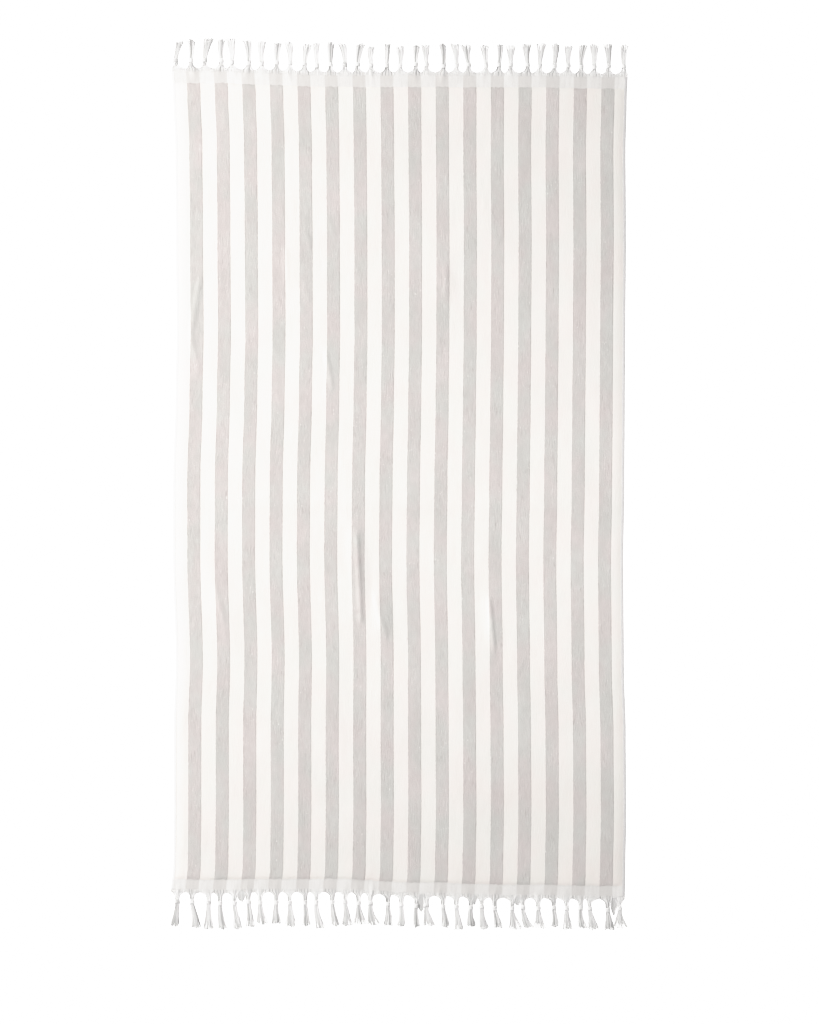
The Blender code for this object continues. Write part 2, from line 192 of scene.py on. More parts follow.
FOOT_TASSELS = (
    Tassel(-2, -6, 15, 82),
    Tassel(0, 9, 19, 85),
    Tassel(6, 0, 20, 87),
    Tassel(1, 5, 16, 87),
    Tassel(2, 8, 16, 88),
    Tassel(3, 3, 18, 83),
    Tassel(-2, 5, 22, 78),
    Tassel(3, 0, 19, 77),
    Tassel(2, 3, 22, 84),
    Tassel(6, 3, 16, 81),
    Tassel(0, 9, 19, 88),
    Tassel(5, 7, 17, 82),
    Tassel(3, 4, 21, 81),
    Tassel(2, 3, 27, 76),
    Tassel(-2, 7, 24, 76),
    Tassel(6, 1, 19, 75),
    Tassel(5, 0, 15, 75),
    Tassel(7, 1, 14, 76),
    Tassel(0, 6, 26, 73),
    Tassel(6, 5, 17, 75),
    Tassel(5, 6, 17, 81),
    Tassel(6, 2, 18, 72),
    Tassel(0, 5, 19, 77),
    Tassel(-2, 8, 18, 73),
    Tassel(6, 8, 27, 76),
    Tassel(0, 11, 17, 72),
    Tassel(3, 3, 26, 74),
    Tassel(7, 3, 15, 69),
    Tassel(5, 2, 20, 75),
    Tassel(5, 5, 17, 71),
    Tassel(-5, 8, 23, 74),
    Tassel(4, 4, 22, 74),
    Tassel(2, 3, 29, 70),
)
# Yarns that stray sideways from a tassel's tip, in mm: to the right of it, and past it
Stray = namedtuple("Stray", "tassel sideways past")
HEAD_STRAYS = (Stray(0, -16, -3), Stray(2, 13, 1), Stray(9, 9, 3))
FOOT_STRAYS = (Stray(5, 9, 2), Stray(18, 8, 2))
# Tassels that are grey all through: how much of the dark yarn colour their yarns have
Tint = namedtuple("Tint", "tassel sand")
HEAD_TINTS = (Tint(0, 0.50), Tint(2, 0.40))
FOOT_TINTS = (Tint(0, 0.50),)
# Loose locks of warp ends that no knot holds, in mm: from the towel's middle, and how much sand they have
Lock = namedtuple("Lock", "x width length sand")
HEAD_LOCKS = ()
FOOT_LOCKS = (
    Lock(-352, 17, 20, 0.45),
    Lock(48, 18, 35, 0.55),
    Lock(165, 10, 15, 0.6),
    Lock(261, 16, 15, 0.45),
    Lock(474, 13, 33, 0.6),
)

# The camera's tones: the light that comes in, and how bright it is drawn
Tone = namedtuple("Tone", "light drawn")
SHOULDER = (
    Tone(0.40, 0.40),
    Tone(0.75, 0.75),
    Tone(0.82, 0.82),
    Tone(0.90, 0.885),
    Tone(1.00, 0.945),
    Tone(1.10, 0.967),
    Tone(1.25, 0.985),
    Tone(1.40, 1.0),
)
# The lamps, in metres and watts
Lamp = namedtuple("Lamp", "name x y z size power")
LAMPS = (
    Lamp("key_light", -4.3, 1.17, 3.26, 1.6, 378.0),
    Lamp("fill_light", 0.62, -0.20, 1.05, 0.7, 3.0),
)

# Slow unevenness of the lying cloth: height and size in mm, the factor that draws it out along the
# stripes (less than 1 is longer), and its pattern
Ripple = namedtuple("Ripple", "height size stretch seed")
RIPPLES = (Ripple(0.45, 85, 0.6, 5), Ripple(0.20, 32, 0.8, 7))
# The pile's own unevenness, with the height as a share of the pile's
PILE_RIPPLE = Ripple(0.05, 9, 0.7, 11)

# Noises of the finishes: the factor that draws them out along the stripes, bumps to a metre, and octaves
Grain = namedtuple("Grain", "stretch scale detail")
EDGE_WAVER = Grain(0.45, 420.0, 3.0)
EDGE_BREAKS = Grain(0.22, 75.0, 3.0)
FIBRES = Grain(0.6, 1900.0, 3.0)
PATCHES = Grain(0.6, 24.0, 2.0)
STREAKS = Grain(0.13, 400.0, 3.0)
CLUMPS = Grain(0.45, 105.0, 4.0)
LIGHT_FLECKS = Grain(0.35, 330.0, 2.0)
DARK_FLECKS = Grain(0.12, 290.0, 2.0)
SLUBS = Grain(0.16, 170.0, 3.0)

# The woven edge's section from the cloth outwards: share of its reach, and share of its thickness
Rim = namedtuple("Rim", "out thick")
STRIP_SECTION = (
    Rim(0.0, 1.0),
    Rim(0.25, 1.0),
    Rim(0.5, 1.0),
    Rim(0.75, 0.95),
    Rim(0.93, 0.75),
    Rim(1.0, 0.35),
)

# How much of the dark yarn colour, sand yarn and painted shade, a tassel's yarns have: the plain ones at
# most, where across the tassel its dark strands may lie, from -1 to 1, and how dark they are. A sand
# stripe's dark strands lie mostly to the right, the side away from the key light, and a white tassel's
# faint grey strands are painted shade.
Mix = namedtuple("Mix", "plain left right palest darkest")
SAND_MIX = Mix(0.22, -0.3, 0.9, 0.75, 1.0)
WHITE_MIX = Mix(0.12, -1.0, 1.0, 0.15, 0.5)


class Effect(Enum):
    """The shader node groups that several finishes use."""

    STRIPES = "stripes"
    TUFTS = "tufts"
    DRIFT = "drift"
    WEAVE = "weave"
    TWIST = "twist"


class Zone(Enum):
    """The parts of the cloth that have a finish of their own, in the order of its material slots."""

    PILE = 0
    HEADING = 1
    HEM = 2
    BACK = 3


class End(Enum):
    """The two ends of the towel: each one's name and its share of the cloth's length."""

    HEAD = ("head_end", 1.0)
    FOOT = ("foot_end", 0.0)

    @property
    def label(self) -> str:
        """The end's name, as the names of its pieces have it."""
        return self.value[0]

    @property
    def along(self) -> float:
        """The end's share of the cloth's length."""
        return self.value[1]

    @property
    def outward(self) -> float:
        """The sign of Y away from the cloth."""
        return 2.0 * self.along - 1.0


def ease(share: np.ndarray) -> np.ndarray:
    """A soft step from 0 to 1.

    Args:
        share: How far along the step each value is.

    Returns:
        The eased shares, held between 0 and 1.
    """
    share = np.clip(share, 0.0, 1.0)
    return share * share * (3.0 - 2.0 * share)


def eased_column(rows: tuple, at: np.ndarray, column: str) -> np.ndarray:
    """Reads one column of a table, eased from row to row.

    Args:
        rows: The table, ordered by its first column.
        at: Places in the first column.
        column: The name of the column to read.

    Returns:
        The column's value at each place.
    """
    stops = np.array([row[0] for row in rows], float)
    values = np.array([getattr(row, column) for row in rows], float)
    low = np.clip(np.searchsorted(stops, at, side="left") - 1, 0, len(rows) - 2)
    share = ease((at - stops[low]) / (stops[low + 1] - stops[low]))
    return values[low] + (values[low + 1] - values[low]) * share


def profile(rows: tuple, distance: np.ndarray) -> np.ndarray:
    """Reads a thickness profile.

    Args:
        rows: Steps in mm.
        distance: Distances in metres.

    Returns:
        The steps' second column at each distance, as the table has it.
    """
    return np.interp(distance / MM, [row.distance for row in rows], [row.thickness for row in rows])


def soft_noise(x: np.ndarray, y: np.ndarray, size: float, seed: int) -> np.ndarray:
    """Smooth random bumps that are the same on every run.

    Args:
        x: Places across, in metres.
        y: Places along, in metres.
        size: The usual width of a bump, in metres.
        seed: Which pattern of bumps it is.

    Returns:
        Heights from -1 to 1.
    """
    count = NOISE_LATTICE
    lattice = np.random.default_rng(seed).uniform(-1.0, 1.0, (count, count))
    u, v = x / size, y / size
    i, j = np.floor(u).astype(int), np.floor(v).astype(int)
    s, t = ease(u - i), ease(v - j)
    near = lattice[i % count, j % count] * (1 - s) + lattice[(i + 1) % count, j % count] * s
    far = lattice[i % count, (j + 1) % count] * (1 - s) + lattice[(i + 1) % count, (j + 1) % count] * s
    return near * (1 - t) + far * t


@dataclass
class TowelPlan:
    """Where everything on the towel lies: its outline, stripes and folds."""

    width: float = 1.000
    length: float = 1.815
    sand_stripes: int = 16
    sand_width: float = 0.0288
    white_width: float = 0.0319
    left_stripe: float = 0.0323
    head_heading: float = 0.0280
    foot_heading: float = 0.0245
    outline_samples: int = 400
    pleat_seeds: tuple = (31, 32)
    pleat_height: float = 1.3 * MM
    pleat_widths: tuple = (6.0 * MM, 11.0 * MM)
    pleat_shift: float = 3.0 * MM
    pleat_slant: float = 0.25
    pleat_reaches: tuple = (0.7, 1.3)
    shift: np.ndarray = field(default_factory=lambda: np.zeros(2))

    def fit_to_frame(self) -> None:
        """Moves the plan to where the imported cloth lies."""
        low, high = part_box("towel_cloth")
        along = np.linspace(0.0, 1.0, self.outline_samples)
        left, _ = self.place(np.zeros_like(along), along)
        _, foot = self.place(along, np.zeros_like(along))
        self.shift = np.array([low.x - left.min(), low.y - foot.min()])

    def place(self, across: np.ndarray, along: np.ndarray) -> tuple[np.ndarray, np.ndarray]:
        """Finds points of the cloth.

        Args:
            across: Shares of the width, from the left.
            along: Shares of the length, from the foot.

        Returns:
            Their x and y in the towel's frame.
        """
        left = -self.width / 2 - eased_column(SIDES, along, "left") * MM
        right = self.width / 2 + eased_column(SIDES, along, "right") * MM
        foot = -self.length / 2 + eased_column(ENDS, across, "foot") * MM
        head = self.length / 2 + eased_column(ENDS, across, "head") * MM
        x = left + (right - left) * across
        y = foot + (head - foot) * along
        return x + self.shift[0], y + self.shift[1]

    def pleats(self, across: np.ndarray, along: np.ndarray) -> np.ndarray:
        """How far the tassels draw the headings up into soft pleats.

        Args:
            across: Distances from the left side.
            along: Distances from the foot.

        Returns:
            The height of the pleats at each place.
        """
        lines = np.concatenate([[0.0], self.stripe_lines(), [self.width]])
        middles = (lines[1:] + lines[:-1]) / 2
        high = np.zeros_like(across)
        foot = (along, self.foot_heading)
        head = (self.length - along, self.head_heading)
        for seed, (end, reach) in zip(self.pleat_seeds, (foot, head)):
            random = np.random.default_rng(seed)
            for middle in middles:
                height = random.uniform(0.1, 1.0) ** 2 * self.pleat_height
                width = random.uniform(*self.pleat_widths)
                slant = random.uniform(-self.pleat_slant, self.pleat_slant)
                aside = random.uniform(-self.pleat_shift, self.pleat_shift)
                away = np.abs(across - middle - aside - slant * end)
                fade = ease(1 - end / (reach * random.uniform(*self.pleat_reaches)))
                high += height * ease(1 - away / width) * fade
        return high

    def lift(self, x: np.ndarray, y: np.ndarray) -> np.ndarray:
        """How far the cloth stands off the ground.

        Args:
            x: Places across.
            y: Places along.

        Returns:
            The height of the folds and puckers at each place.
        """
        x = (x - self.shift[0]) / MM
        y = (y - self.shift[1]) / MM
        broad = np.max([self.ridge(crease, x, y) for crease in CREASES], axis=0)
        narrow = np.max([self.ridge(pucker, x, y) for pucker in PUCKERS], axis=0)
        return (broad + narrow) * MM

    @staticmethod
    def ridge(crease: Crease, x: np.ndarray, y: np.ndarray) -> np.ndarray:
        """The height of one crease.

        Args:
            crease: Its row in the table.
            x: Places across, in mm.
            y: Places along, in mm.

        Returns:
            Its height at each place, in mm.
        """
        run = np.array([crease.x1 - crease.x0, crease.y1 - crease.y0])
        length = np.hypot(*run)
        along = ((x - crease.x0) * run[0] + (y - crease.y0) * run[1]) / length
        away = np.abs((x - crease.x0) * run[1] - (y - crease.y0) * run[0]) / length
        fade = ease(np.minimum(along, length - along) / (CREASE_FADE * crease.half_width))
        return crease.height * fade * ease(1.0 - away / crease.half_width)

    def stripe_lines(self) -> np.ndarray:
        """Distances from the left side to each line between two stripes."""
        steps = [self.left_stripe]
        for _ in range(self.sand_stripes):
            steps += [self.sand_width, self.white_width]
        return np.cumsum(steps)[:-1]


class Nodes:
    """Adds shader nodes to one tree and joins them."""

    def __init__(self, tree: bpy.types.NodeTree) -> None:
        """Takes the tree that the nodes go into."""
        self.tree = tree

    def add(self, kind: str, **settings: object) -> bpy.types.Node:
        """Adds a node.

        Args:
            kind: The node's type without its ShaderNode prefix.
            **settings: The node's own properties.

        Returns:
            The new node.
        """
        node = self.tree.nodes.new("ShaderNode" + kind)
        for name, value in settings.items():
            setattr(node, name, value)
        return node

    def put(self, value: object, socket: bpy.types.NodeSocket) -> None:
        """Joins a socket to another, or sets it to a plain value."""
        if isinstance(value, bpy.types.NodeSocket):
            self.tree.links.new(value, socket)
        elif value is not None:
            socket.default_value = value

    def maths(self, operation: str, *values: object) -> bpy.types.NodeSocket:
        """Adds one step of arithmetic.

        Args:
            operation: Its name in Blender.
            *values: Sockets or plain numbers.

        Returns:
            The socket with its result.
        """
        node = self.add("Math", operation=operation)
        for value, socket in zip(values, node.inputs):
            self.put(value, socket)
        return node.outputs["Value"]

    def scaled(self, place: bpy.types.NodeSocket, x: float, y: float) -> bpy.types.NodeSocket:
        """Stretches flat coordinates.

        Args:
            place: The coordinates.
            x: Their factor across.
            y: Their factor along.

        Returns:
            The stretched coordinates.
        """
        node = self.add("VectorMath", operation="MULTIPLY")
        self.put(place, node.inputs[0])
        node.inputs[1].default_value = (x, y, 0.0)
        return node.outputs["Vector"]

    def noise(self, place: bpy.types.NodeSocket, scale: float, detail: float = 2.0) -> bpy.types.NodeSocket:
        """Adds smooth noise.

        Args:
            place: Its coordinates.
            scale: Bumps to a unit of them.
            detail: Octaves.

        Returns:
            The socket with its value, about 0.5 on average.
        """
        node = self.add("TexNoise", noise_dimensions="3D")
        self.put(place, node.inputs["Vector"])
        node.inputs["Scale"].default_value = scale
        node.inputs["Detail"].default_value = detail
        return node.outputs["Fac"]

    def grain(self, place: bpy.types.NodeSocket, grain: Grain) -> bpy.types.NodeSocket:
        """Adds smooth noise that is drawn out along the stripes."""
        return self.noise(self.scaled(place, 1.0, grain.stretch), grain.scale, grain.detail)

    def cells(self, place: bpy.types.NodeSocket, scale: float) -> bpy.types.NodeSocket:
        """Adds rounded cells.

        Args:
            place: Their coordinates.
            scale: Cells to a unit of them.

        Returns:
            The socket with the distance from each cell's middle.
        """
        node = self.add("TexVoronoi", voronoi_dimensions="3D", feature="F1")
        self.put(place, node.inputs["Vector"])
        node.inputs["Scale"].default_value = scale
        return node.outputs["Distance"]

    def ramp(
        self, value: object, low: object, high: object, start: float = 0.0, end: float = 1.0
    ) -> bpy.types.NodeSocket:
        """Moves a value from one range to another, softly and held within it.

        Args:
            value: The value.
            low: What becomes start.
            high: What becomes end.
            start: The result at low.
            end: The result at high.

        Returns:
            The socket with the result.
        """
        node = self.add("MapRange", interpolation_type="SMOOTHSTEP")
        names = ("Value", "From Min", "From Max", "To Min", "To Max")
        for name, item in zip(names, (value, low, high, start, end)):
            self.put(item, node.inputs[name])
        return node.outputs["Result"]

    def blend(self, share: object, first: object, second: object, way: str = "MIX") -> bpy.types.NodeSocket:
        """Mixes two colours.

        Args:
            share: How much of the second shows.
            first: The first colour.
            second: The second colour.
            way: The way to mix them.

        Returns:
            The socket with the mixed colour.
        """
        node = self.add("Mix", data_type="RGBA", blend_type=way)
        self.put(share, node.inputs["Factor"])
        self.put(first, node.inputs[MIX_FIRST])
        self.put(second, node.inputs[MIX_SECOND])
        return node.outputs[MIX_RESULT]


class SharedEffects:
    """The node groups that several finishes use, each built once."""

    line_inset: float = 1.2 * MM
    line_width: float = 1.6 * MM
    tufts_to_metre: float = 760.0

    def __init__(self, plan: TowelPlan) -> None:
        """Takes the plan that the stripes follow."""
        self.plan = plan
        self.built: dict[Effect, bpy.types.NodeTree] = {}
        self.makers = {
            Effect.STRIPES: self.make_stripes,
            Effect.TUFTS: self.make_tufts,
            Effect.DRIFT: self.make_drift,
            Effect.WEAVE: self.make_weave,
            Effect.TWIST: self.make_twist,
        }

    def begin(
        self, effect: Effect, inputs: dict[str, object], outputs: tuple[str, ...]
    ) -> tuple[Nodes, dict, dict]:
        """Starts a group.

        Args:
            effect: Which group it is.
            inputs: Its inputs' names and usual values, a number or None for coordinates.
            outputs: Its outputs' names.

        Returns:
            Its nodes, its inputs' sockets and its outputs' sockets, by name.
        """
        group = bpy.data.node_groups.new(effect.value, "ShaderNodeTree")
        for item, value in inputs.items():
            kind = "NodeSocketVector" if value is None else "NodeSocketFloat"
            socket = group.interface.new_socket(name=item, in_out="INPUT", socket_type=kind)
            if value is not None:
                socket.default_value = value
        for item in outputs:
            group.interface.new_socket(name=item, in_out="OUTPUT", socket_type="NodeSocketFloat")
        self.built[effect] = group
        nodes = Nodes(group)
        start = group.nodes.new("NodeGroupInput")
        end = group.nodes.new("NodeGroupOutput")
        given = {socket.name: socket for socket in start.outputs if socket.name}
        return nodes, given, {socket.name: socket for socket in end.inputs if socket.name}

    def use(self, nodes: Nodes, effect: Effect, place: bpy.types.NodeSocket, **values: float) -> dict:
        """Places a group in a material.

        Args:
            nodes: The material's nodes.
            effect: Which group it is.
            place: The coordinates that it works in.
            **values: Its other inputs, with underscores for spaces.

        Returns:
            Its outputs' sockets by name.
        """
        if effect not in self.built:
            self.makers[effect]()
        node = nodes.add("Group", node_tree=self.built[effect], label=effect.value)
        nodes.put(place, node.inputs["Place"])
        for item, value in values.items():
            node.inputs[item.replace("_", " ")].default_value = value
        return {socket.name: socket for socket in node.outputs}

    def make_stripes(self) -> None:
        """Builds the mask of the sand stripes, with an uneven edge, and thin broken lines along it."""
        inputs = {"Place": None, "Softness": 0.6 * MM, "Waver": 1.0 * MM}
        nodes, given, out = self.begin(Effect.STRIPES, inputs, ("Sand", "Edge Line"))
        period = self.plan.sand_width + self.plan.white_width
        middle = self.plan.left_stripe + self.plan.sand_width / 2
        parts = nodes.add("SeparateXYZ")
        nodes.put(given["Place"], parts.inputs[0])
        waver = nodes.maths("SUBTRACT", nodes.grain(given["Place"], EDGE_WAVER), 0.5)
        across = nodes.maths("MULTIPLY_ADD", waver, given["Waver"], parts.outputs["X"])
        turns = nodes.maths("DIVIDE", nodes.maths("SUBTRACT", across, middle), period)
        part = nodes.maths("FRACT", nodes.maths("ADD", turns, 0.5))
        away = nodes.maths("MULTIPLY", nodes.maths("ABSOLUTE", nodes.maths("SUBTRACT", part, 0.5)), period)
        inner = nodes.maths("SUBTRACT", self.plan.sand_width / 2, given["Softness"])
        outer = nodes.maths("ADD", self.plan.sand_width / 2, given["Softness"])
        nodes.put(nodes.ramp(away, inner, outer, 1.0, 0.0), out["Sand"])
        line_place = self.plan.sand_width / 2 - self.line_inset
        beside = nodes.maths("ABSOLUTE", nodes.maths("SUBTRACT", away, line_place))
        broken = nodes.ramp(nodes.grain(given["Place"], EDGE_BREAKS), 0.50, 0.66)
        line = nodes.ramp(beside, 0.0, self.line_width, 1.0, 0.0)
        nodes.put(nodes.maths("MULTIPLY", line, broken), out["Edge Line"])

    def make_tufts(self) -> None:
        """Builds the grain of a cut pile: fine tufts, lengthwise streaks and sparse flecks, in patches."""
        names = ("Height", "Shade", "Light Fleck", "Dark Fleck")
        inputs = {"Place": None, "Streaks": 0.5, "Fineness": 1.0}
        nodes, given, out = self.begin(Effect.TUFTS, inputs, names)
        place = nodes.add("VectorMath", operation="SCALE")
        nodes.put(given["Place"], place.inputs[0])
        nodes.put(given["Fineness"], place.inputs["Scale"])
        fine = place.outputs["Vector"]
        cells = nodes.cells(nodes.scaled(fine, 1.0, 0.8), self.tufts_to_metre)
        tuft = nodes.ramp(cells, 0.0, 0.75, 1.0, 0.0)
        fibre = nodes.grain(fine, FIBRES)
        patch = nodes.ramp(nodes.grain(fine, PATCHES), 0.40, 0.62, 0.15, 1.0)
        streak = nodes.maths("SUBTRACT", nodes.grain(fine, STREAKS), 0.5)
        streak = nodes.maths("MULTIPLY_ADD", streak, patch, 0.5)
        clump = nodes.grain(fine, CLUMPS)
        grain = nodes.maths("MULTIPLY_ADD", fibre, 0.4, nodes.maths("MULTIPLY", tuft, 0.4))
        broad = nodes.maths("MULTIPLY_ADD", streak, 1.6, clump)
        nodes.put(nodes.maths("MULTIPLY_ADD", broad, given["Streaks"], grain), out["Height"])
        shade = nodes.maths("MULTIPLY_ADD", grain, 0.25, nodes.maths("MULTIPLY", broad, 0.5))
        nodes.put(nodes.ramp(shade, 0.45, 1.05), out["Shade"])
        light = nodes.ramp(nodes.grain(fine, LIGHT_FLECKS), 0.64, 0.74)
        dark = nodes.ramp(nodes.grain(fine, DARK_FLECKS), 0.60, 0.72)
        nodes.put(nodes.maths("MULTIPLY", light, patch), out["Light Fleck"])
        nodes.put(nodes.maths("MULTIPLY", dark, patch), out["Dark Fleck"])

    def make_drift(self) -> None:
        """Builds the slow drift of tone and hue over a whole cloth."""
        nodes, given, out = self.begin(Effect.DRIFT, {"Place": None, "Size": 0.12}, ("Tone", "Hue"))
        place = nodes.add("VectorMath", operation="SCALE")
        nodes.put(given["Place"], place.inputs[0])
        nodes.put(nodes.maths("DIVIDE", 1.0, given["Size"]), place.inputs["Scale"])
        wide = place.outputs["Vector"]
        tone = nodes.noise(nodes.scaled(wide, 1.0, 0.6), 1.0, 4.0)
        hue = nodes.noise(nodes.scaled(wide, 0.7, 0.5), 1.7, 3.0)
        nodes.put(nodes.ramp(tone, 0.3, 0.7), out["Tone"])
        nodes.put(nodes.ramp(hue, 0.3, 0.7), out["Hue"])

    def make_weave(self) -> None:
        """Builds a plain weave of round threads that pass over and under each other."""
        inputs = {"Place": None, "Warp Pitch": 0.9 * MM, "Weft Pitch": 1.1 * MM}
        nodes, given, out = self.begin(Effect.WEAVE, inputs, ("Height", "Gap Shade", "Streak"))
        parts = nodes.add("SeparateXYZ")
        nodes.put(given["Place"], parts.inputs[0])
        wander = nodes.maths("MULTIPLY", nodes.noise(given["Place"], 260.0, 2.0), 0.5)
        warp = nodes.maths("ADD", nodes.maths("DIVIDE", parts.outputs["X"], given["Warp Pitch"]), wander)
        weft = nodes.maths("ADD", nodes.maths("DIVIDE", parts.outputs["Y"], given["Weft Pitch"]), wander)
        over_warp = self.thread(nodes, warp, weft, 0.0)
        over_weft = self.thread(nodes, weft, warp, math.pi)
        height = nodes.maths("MAXIMUM", over_warp, over_weft)
        nodes.put(height, out["Height"])
        # The gaps between the threads, which the finishes darken with painted shade
        nodes.put(nodes.ramp(height, 0.1, 0.45, 1.0, 0.0), out["Gap Shade"])
        nodes.put(nodes.ramp(nodes.grain(given["Place"], SLUBS), 0.42, 0.68), out["Streak"])

    @staticmethod
    def thread(nodes: Nodes, across: object, along: object, phase: float) -> bpy.types.NodeSocket:
        """Adds one system of threads of a plain weave.

        Args:
            nodes: The group's nodes.
            across: Thread counts across these threads.
            along: Thread counts along them.
            phase: Where they pass over.

        Returns:
            The socket with their height.
        """
        rounded = nodes.maths("ABSOLUTE", nodes.maths("SINE", nodes.maths("MULTIPLY", across, math.pi)))
        turn = nodes.maths("ADD", along, nodes.maths("FLOOR", across))
        wave = nodes.maths("COSINE", nodes.maths("MULTIPLY_ADD", turn, math.pi, phase))
        return nodes.maths("MULTIPLY", rounded, nodes.maths("MULTIPLY_ADD", wave, 0.4, 0.6))

    def make_twist(self) -> None:
        """Builds the plies of a twisted yarn and its fine fibres."""
        inputs = {"Place": None, "Plies": 2.0, "Turn": 5.0 * MM}
        nodes, given, out = self.begin(Effect.TWIST, inputs, ("Height", "Groove Shade"))
        parts = nodes.add("SeparateXYZ")
        nodes.put(given["Place"], parts.inputs[0])
        around = nodes.maths("MULTIPLY", parts.outputs["X"], given["Plies"])
        step = nodes.maths("DIVIDE", given["Turn"], given["Plies"])
        turns = nodes.maths("DIVIDE", parts.outputs["Y"], step)
        wave = nodes.maths("SINE", nodes.maths("MULTIPLY", nodes.maths("ADD", around, turns), math.pi))
        ply = nodes.maths("ABSOLUTE", wave)
        fibre = nodes.noise(nodes.scaled(given["Place"], 9.0, 900.0), 1.0, 3.0)
        nodes.put(nodes.maths("MULTIPLY_ADD", fibre, 0.45, ply), out["Height"])
        # The grooves between the plies, which the yarns darken with painted shade
        nodes.put(nodes.ramp(ply, 0.05, 0.55, 1.0, 0.0), out["Groove Shade"])


def new_material(
    name: str, roughness: float, sheen: float
) -> tuple[bpy.types.Material, Nodes, bpy.types.Node]:
    """Starts a material for a textile.

    Args:
        name: Its name.
        roughness: Its usual roughness.
        sheen: How much its fibres catch the light at a glance.

    Returns:
        The material, its nodes and its main shader.
    """
    material = bpy.data.materials.new(name)
    material.use_nodes = True
    shader = material.node_tree.nodes["Principled BSDF"]
    shader.inputs["Roughness"].default_value = roughness
    shader.inputs["Specular IOR Level"].default_value = 0.2
    shader.inputs["Sheen Weight"].default_value = sheen
    shader.inputs["Sheen Roughness"].default_value = 0.6
    return material, Nodes(material.node_tree), shader


def place_of_cloth(nodes: Nodes) -> bpy.types.NodeSocket:
    """The coordinates on the flat cloth, in metres from its left foot corner."""
    return nodes.add("Attribute", attribute_name=PLACE_NAME).outputs["Vector"]


def bump(
    nodes: Nodes, shader: bpy.types.Node, height: bpy.types.NodeSocket, depth: float, strength: float
) -> None:
    """Raises a material's surface.

    Args:
        nodes: The material's nodes.
        shader: Its main shader.
        height: Heights from 0 to 1.
        depth: The height of 1, in metres.
        strength: How strongly it shows.
    """
    node = nodes.add("Bump")
    node.inputs["Strength"].default_value = strength
    node.inputs["Distance"].default_value = depth
    nodes.put(height, node.inputs["Height"])
    nodes.put(node.outputs["Normal"], shader.inputs["Normal"])


@dataclass(frozen=True)
class PileFinish:
    """The cut cotton pile in white and sand stripes."""

    name: str = "striped_pile"
    white: tuple = (0.874, 0.820, 0.786, 1.0)
    white_cool: tuple = (0.852, 0.830, 0.792, 1.0)
    sand: tuple = (0.698, 0.645, 0.629, 1.0)
    sand_cool: tuple = (0.660, 0.654, 0.628, 1.0)
    shadow: tuple = (0.32, 0.27, 0.25, 1.0)
    light_fibre: tuple = (0.92, 0.90, 0.87, 1.0)
    depth: float = 0.9 * MM
    streaks: float = 0.6
    strength: float = 0.8
    sheen: float = 0.08

    def build(self, effects: SharedEffects) -> bpy.types.Material:
        """Makes the material.

        Args:
            effects: The shared node groups.

        Returns:
            The material.
        """
        material, nodes, shader = new_material(self.name, 0.9, self.sheen)
        place = place_of_cloth(nodes)
        stripes = effects.use(nodes, Effect.STRIPES, place, Softness=0.8 * MM, Waver=2.6 * MM)
        sand = stripes["Sand"]
        tufts = effects.use(nodes, Effect.TUFTS, place, Streaks=self.streaks)
        drift = effects.use(nodes, Effect.DRIFT, place, Size=0.08)
        sand_tone = nodes.blend(drift["Hue"], self.sand, self.sand_cool)
        white_tone = nodes.blend(drift["Hue"], self.white, self.white_cool)
        colour = nodes.blend(sand, white_tone, sand_tone)
        depth = nodes.maths("MULTIPLY_ADD", sand, 0.16, 0.02)
        shade = nodes.maths("MULTIPLY", nodes.maths("SUBTRACT", 1.0, tufts["Shade"]), depth)
        colour = nodes.blend(shade, colour, self.shadow)
        slow = nodes.maths("MULTIPLY", drift["Tone"], nodes.maths("MULTIPLY_ADD", sand, 0.08, 0.035))
        colour = nodes.blend(slow, colour, self.shadow)
        lines = nodes.maths("MAXIMUM", stripes["Edge Line"], tufts["Dark Fleck"])
        drawn = nodes.maths("MULTIPLY", lines, nodes.maths("MULTIPLY", sand, 0.28))
        colour = nodes.blend(drawn, colour, self.shadow)
        fleck = nodes.maths("MULTIPLY", tufts["Light Fleck"], nodes.maths("MULTIPLY", sand, 0.55))
        colour = nodes.blend(fleck, colour, self.light_fibre)
        nodes.put(colour, shader.inputs["Base Color"])
        nodes.put(nodes.ramp(tufts["Shade"], 0.0, 1.0, 0.98, 0.82), shader.inputs["Roughness"])
        relief = nodes.maths("MULTIPLY", tufts["Height"], nodes.maths("MULTIPLY_ADD", sand, 0.55, 0.45))
        bump(nodes, shader, relief, self.depth, self.strength)
        return material


@dataclass(frozen=True)
class WeaveFinish:
    """A flat woven part of the cloth: the headings and the folded side hems."""

    name: str
    white: tuple
    sand: tuple
    warp_pitch: float
    weft_pitch: float
    streaks: float
    depth: float = 0.25 * MM
    gap_shade: tuple = (0.42, 0.39, 0.36, 1.0)
    shade: tuple = (0.52, 0.49, 0.47, 1.0)

    def build(self, effects: SharedEffects) -> bpy.types.Material:
        """Makes the material.

        Args:
            effects: The shared node groups.

        Returns:
            The material.
        """
        material, nodes, shader = new_material(self.name, 0.85, 0.08)
        place = place_of_cloth(nodes)
        sand = effects.use(nodes, Effect.STRIPES, place, Softness=1.6 * MM, Waver=2.0 * MM)["Sand"]
        pitches = {"Warp_Pitch": self.warp_pitch, "Weft_Pitch": self.weft_pitch}
        weave = effects.use(nodes, Effect.WEAVE, place, **pitches)
        drift = effects.use(nodes, Effect.DRIFT, place, Size=0.05)
        colour = nodes.blend(sand, self.white, self.sand)
        # Painted shade: the gaps between the threads are darkened in the colour
        colour = nodes.blend(nodes.maths("MULTIPLY", weave["Gap Shade"], 0.30), colour, self.gap_shade)
        uneven = nodes.maths("MULTIPLY", nodes.maths("ADD", drift["Tone"], weave["Streak"]), self.streaks)
        colour = nodes.blend(uneven, colour, self.shade)
        nodes.put(colour, shader.inputs["Base Color"])
        nodes.put(nodes.ramp(weave["Height"], 0.0, 1.0, 0.95, 0.78), shader.inputs["Roughness"])
        bump(nodes, shader, weave["Height"], self.depth, 0.7)
        return material


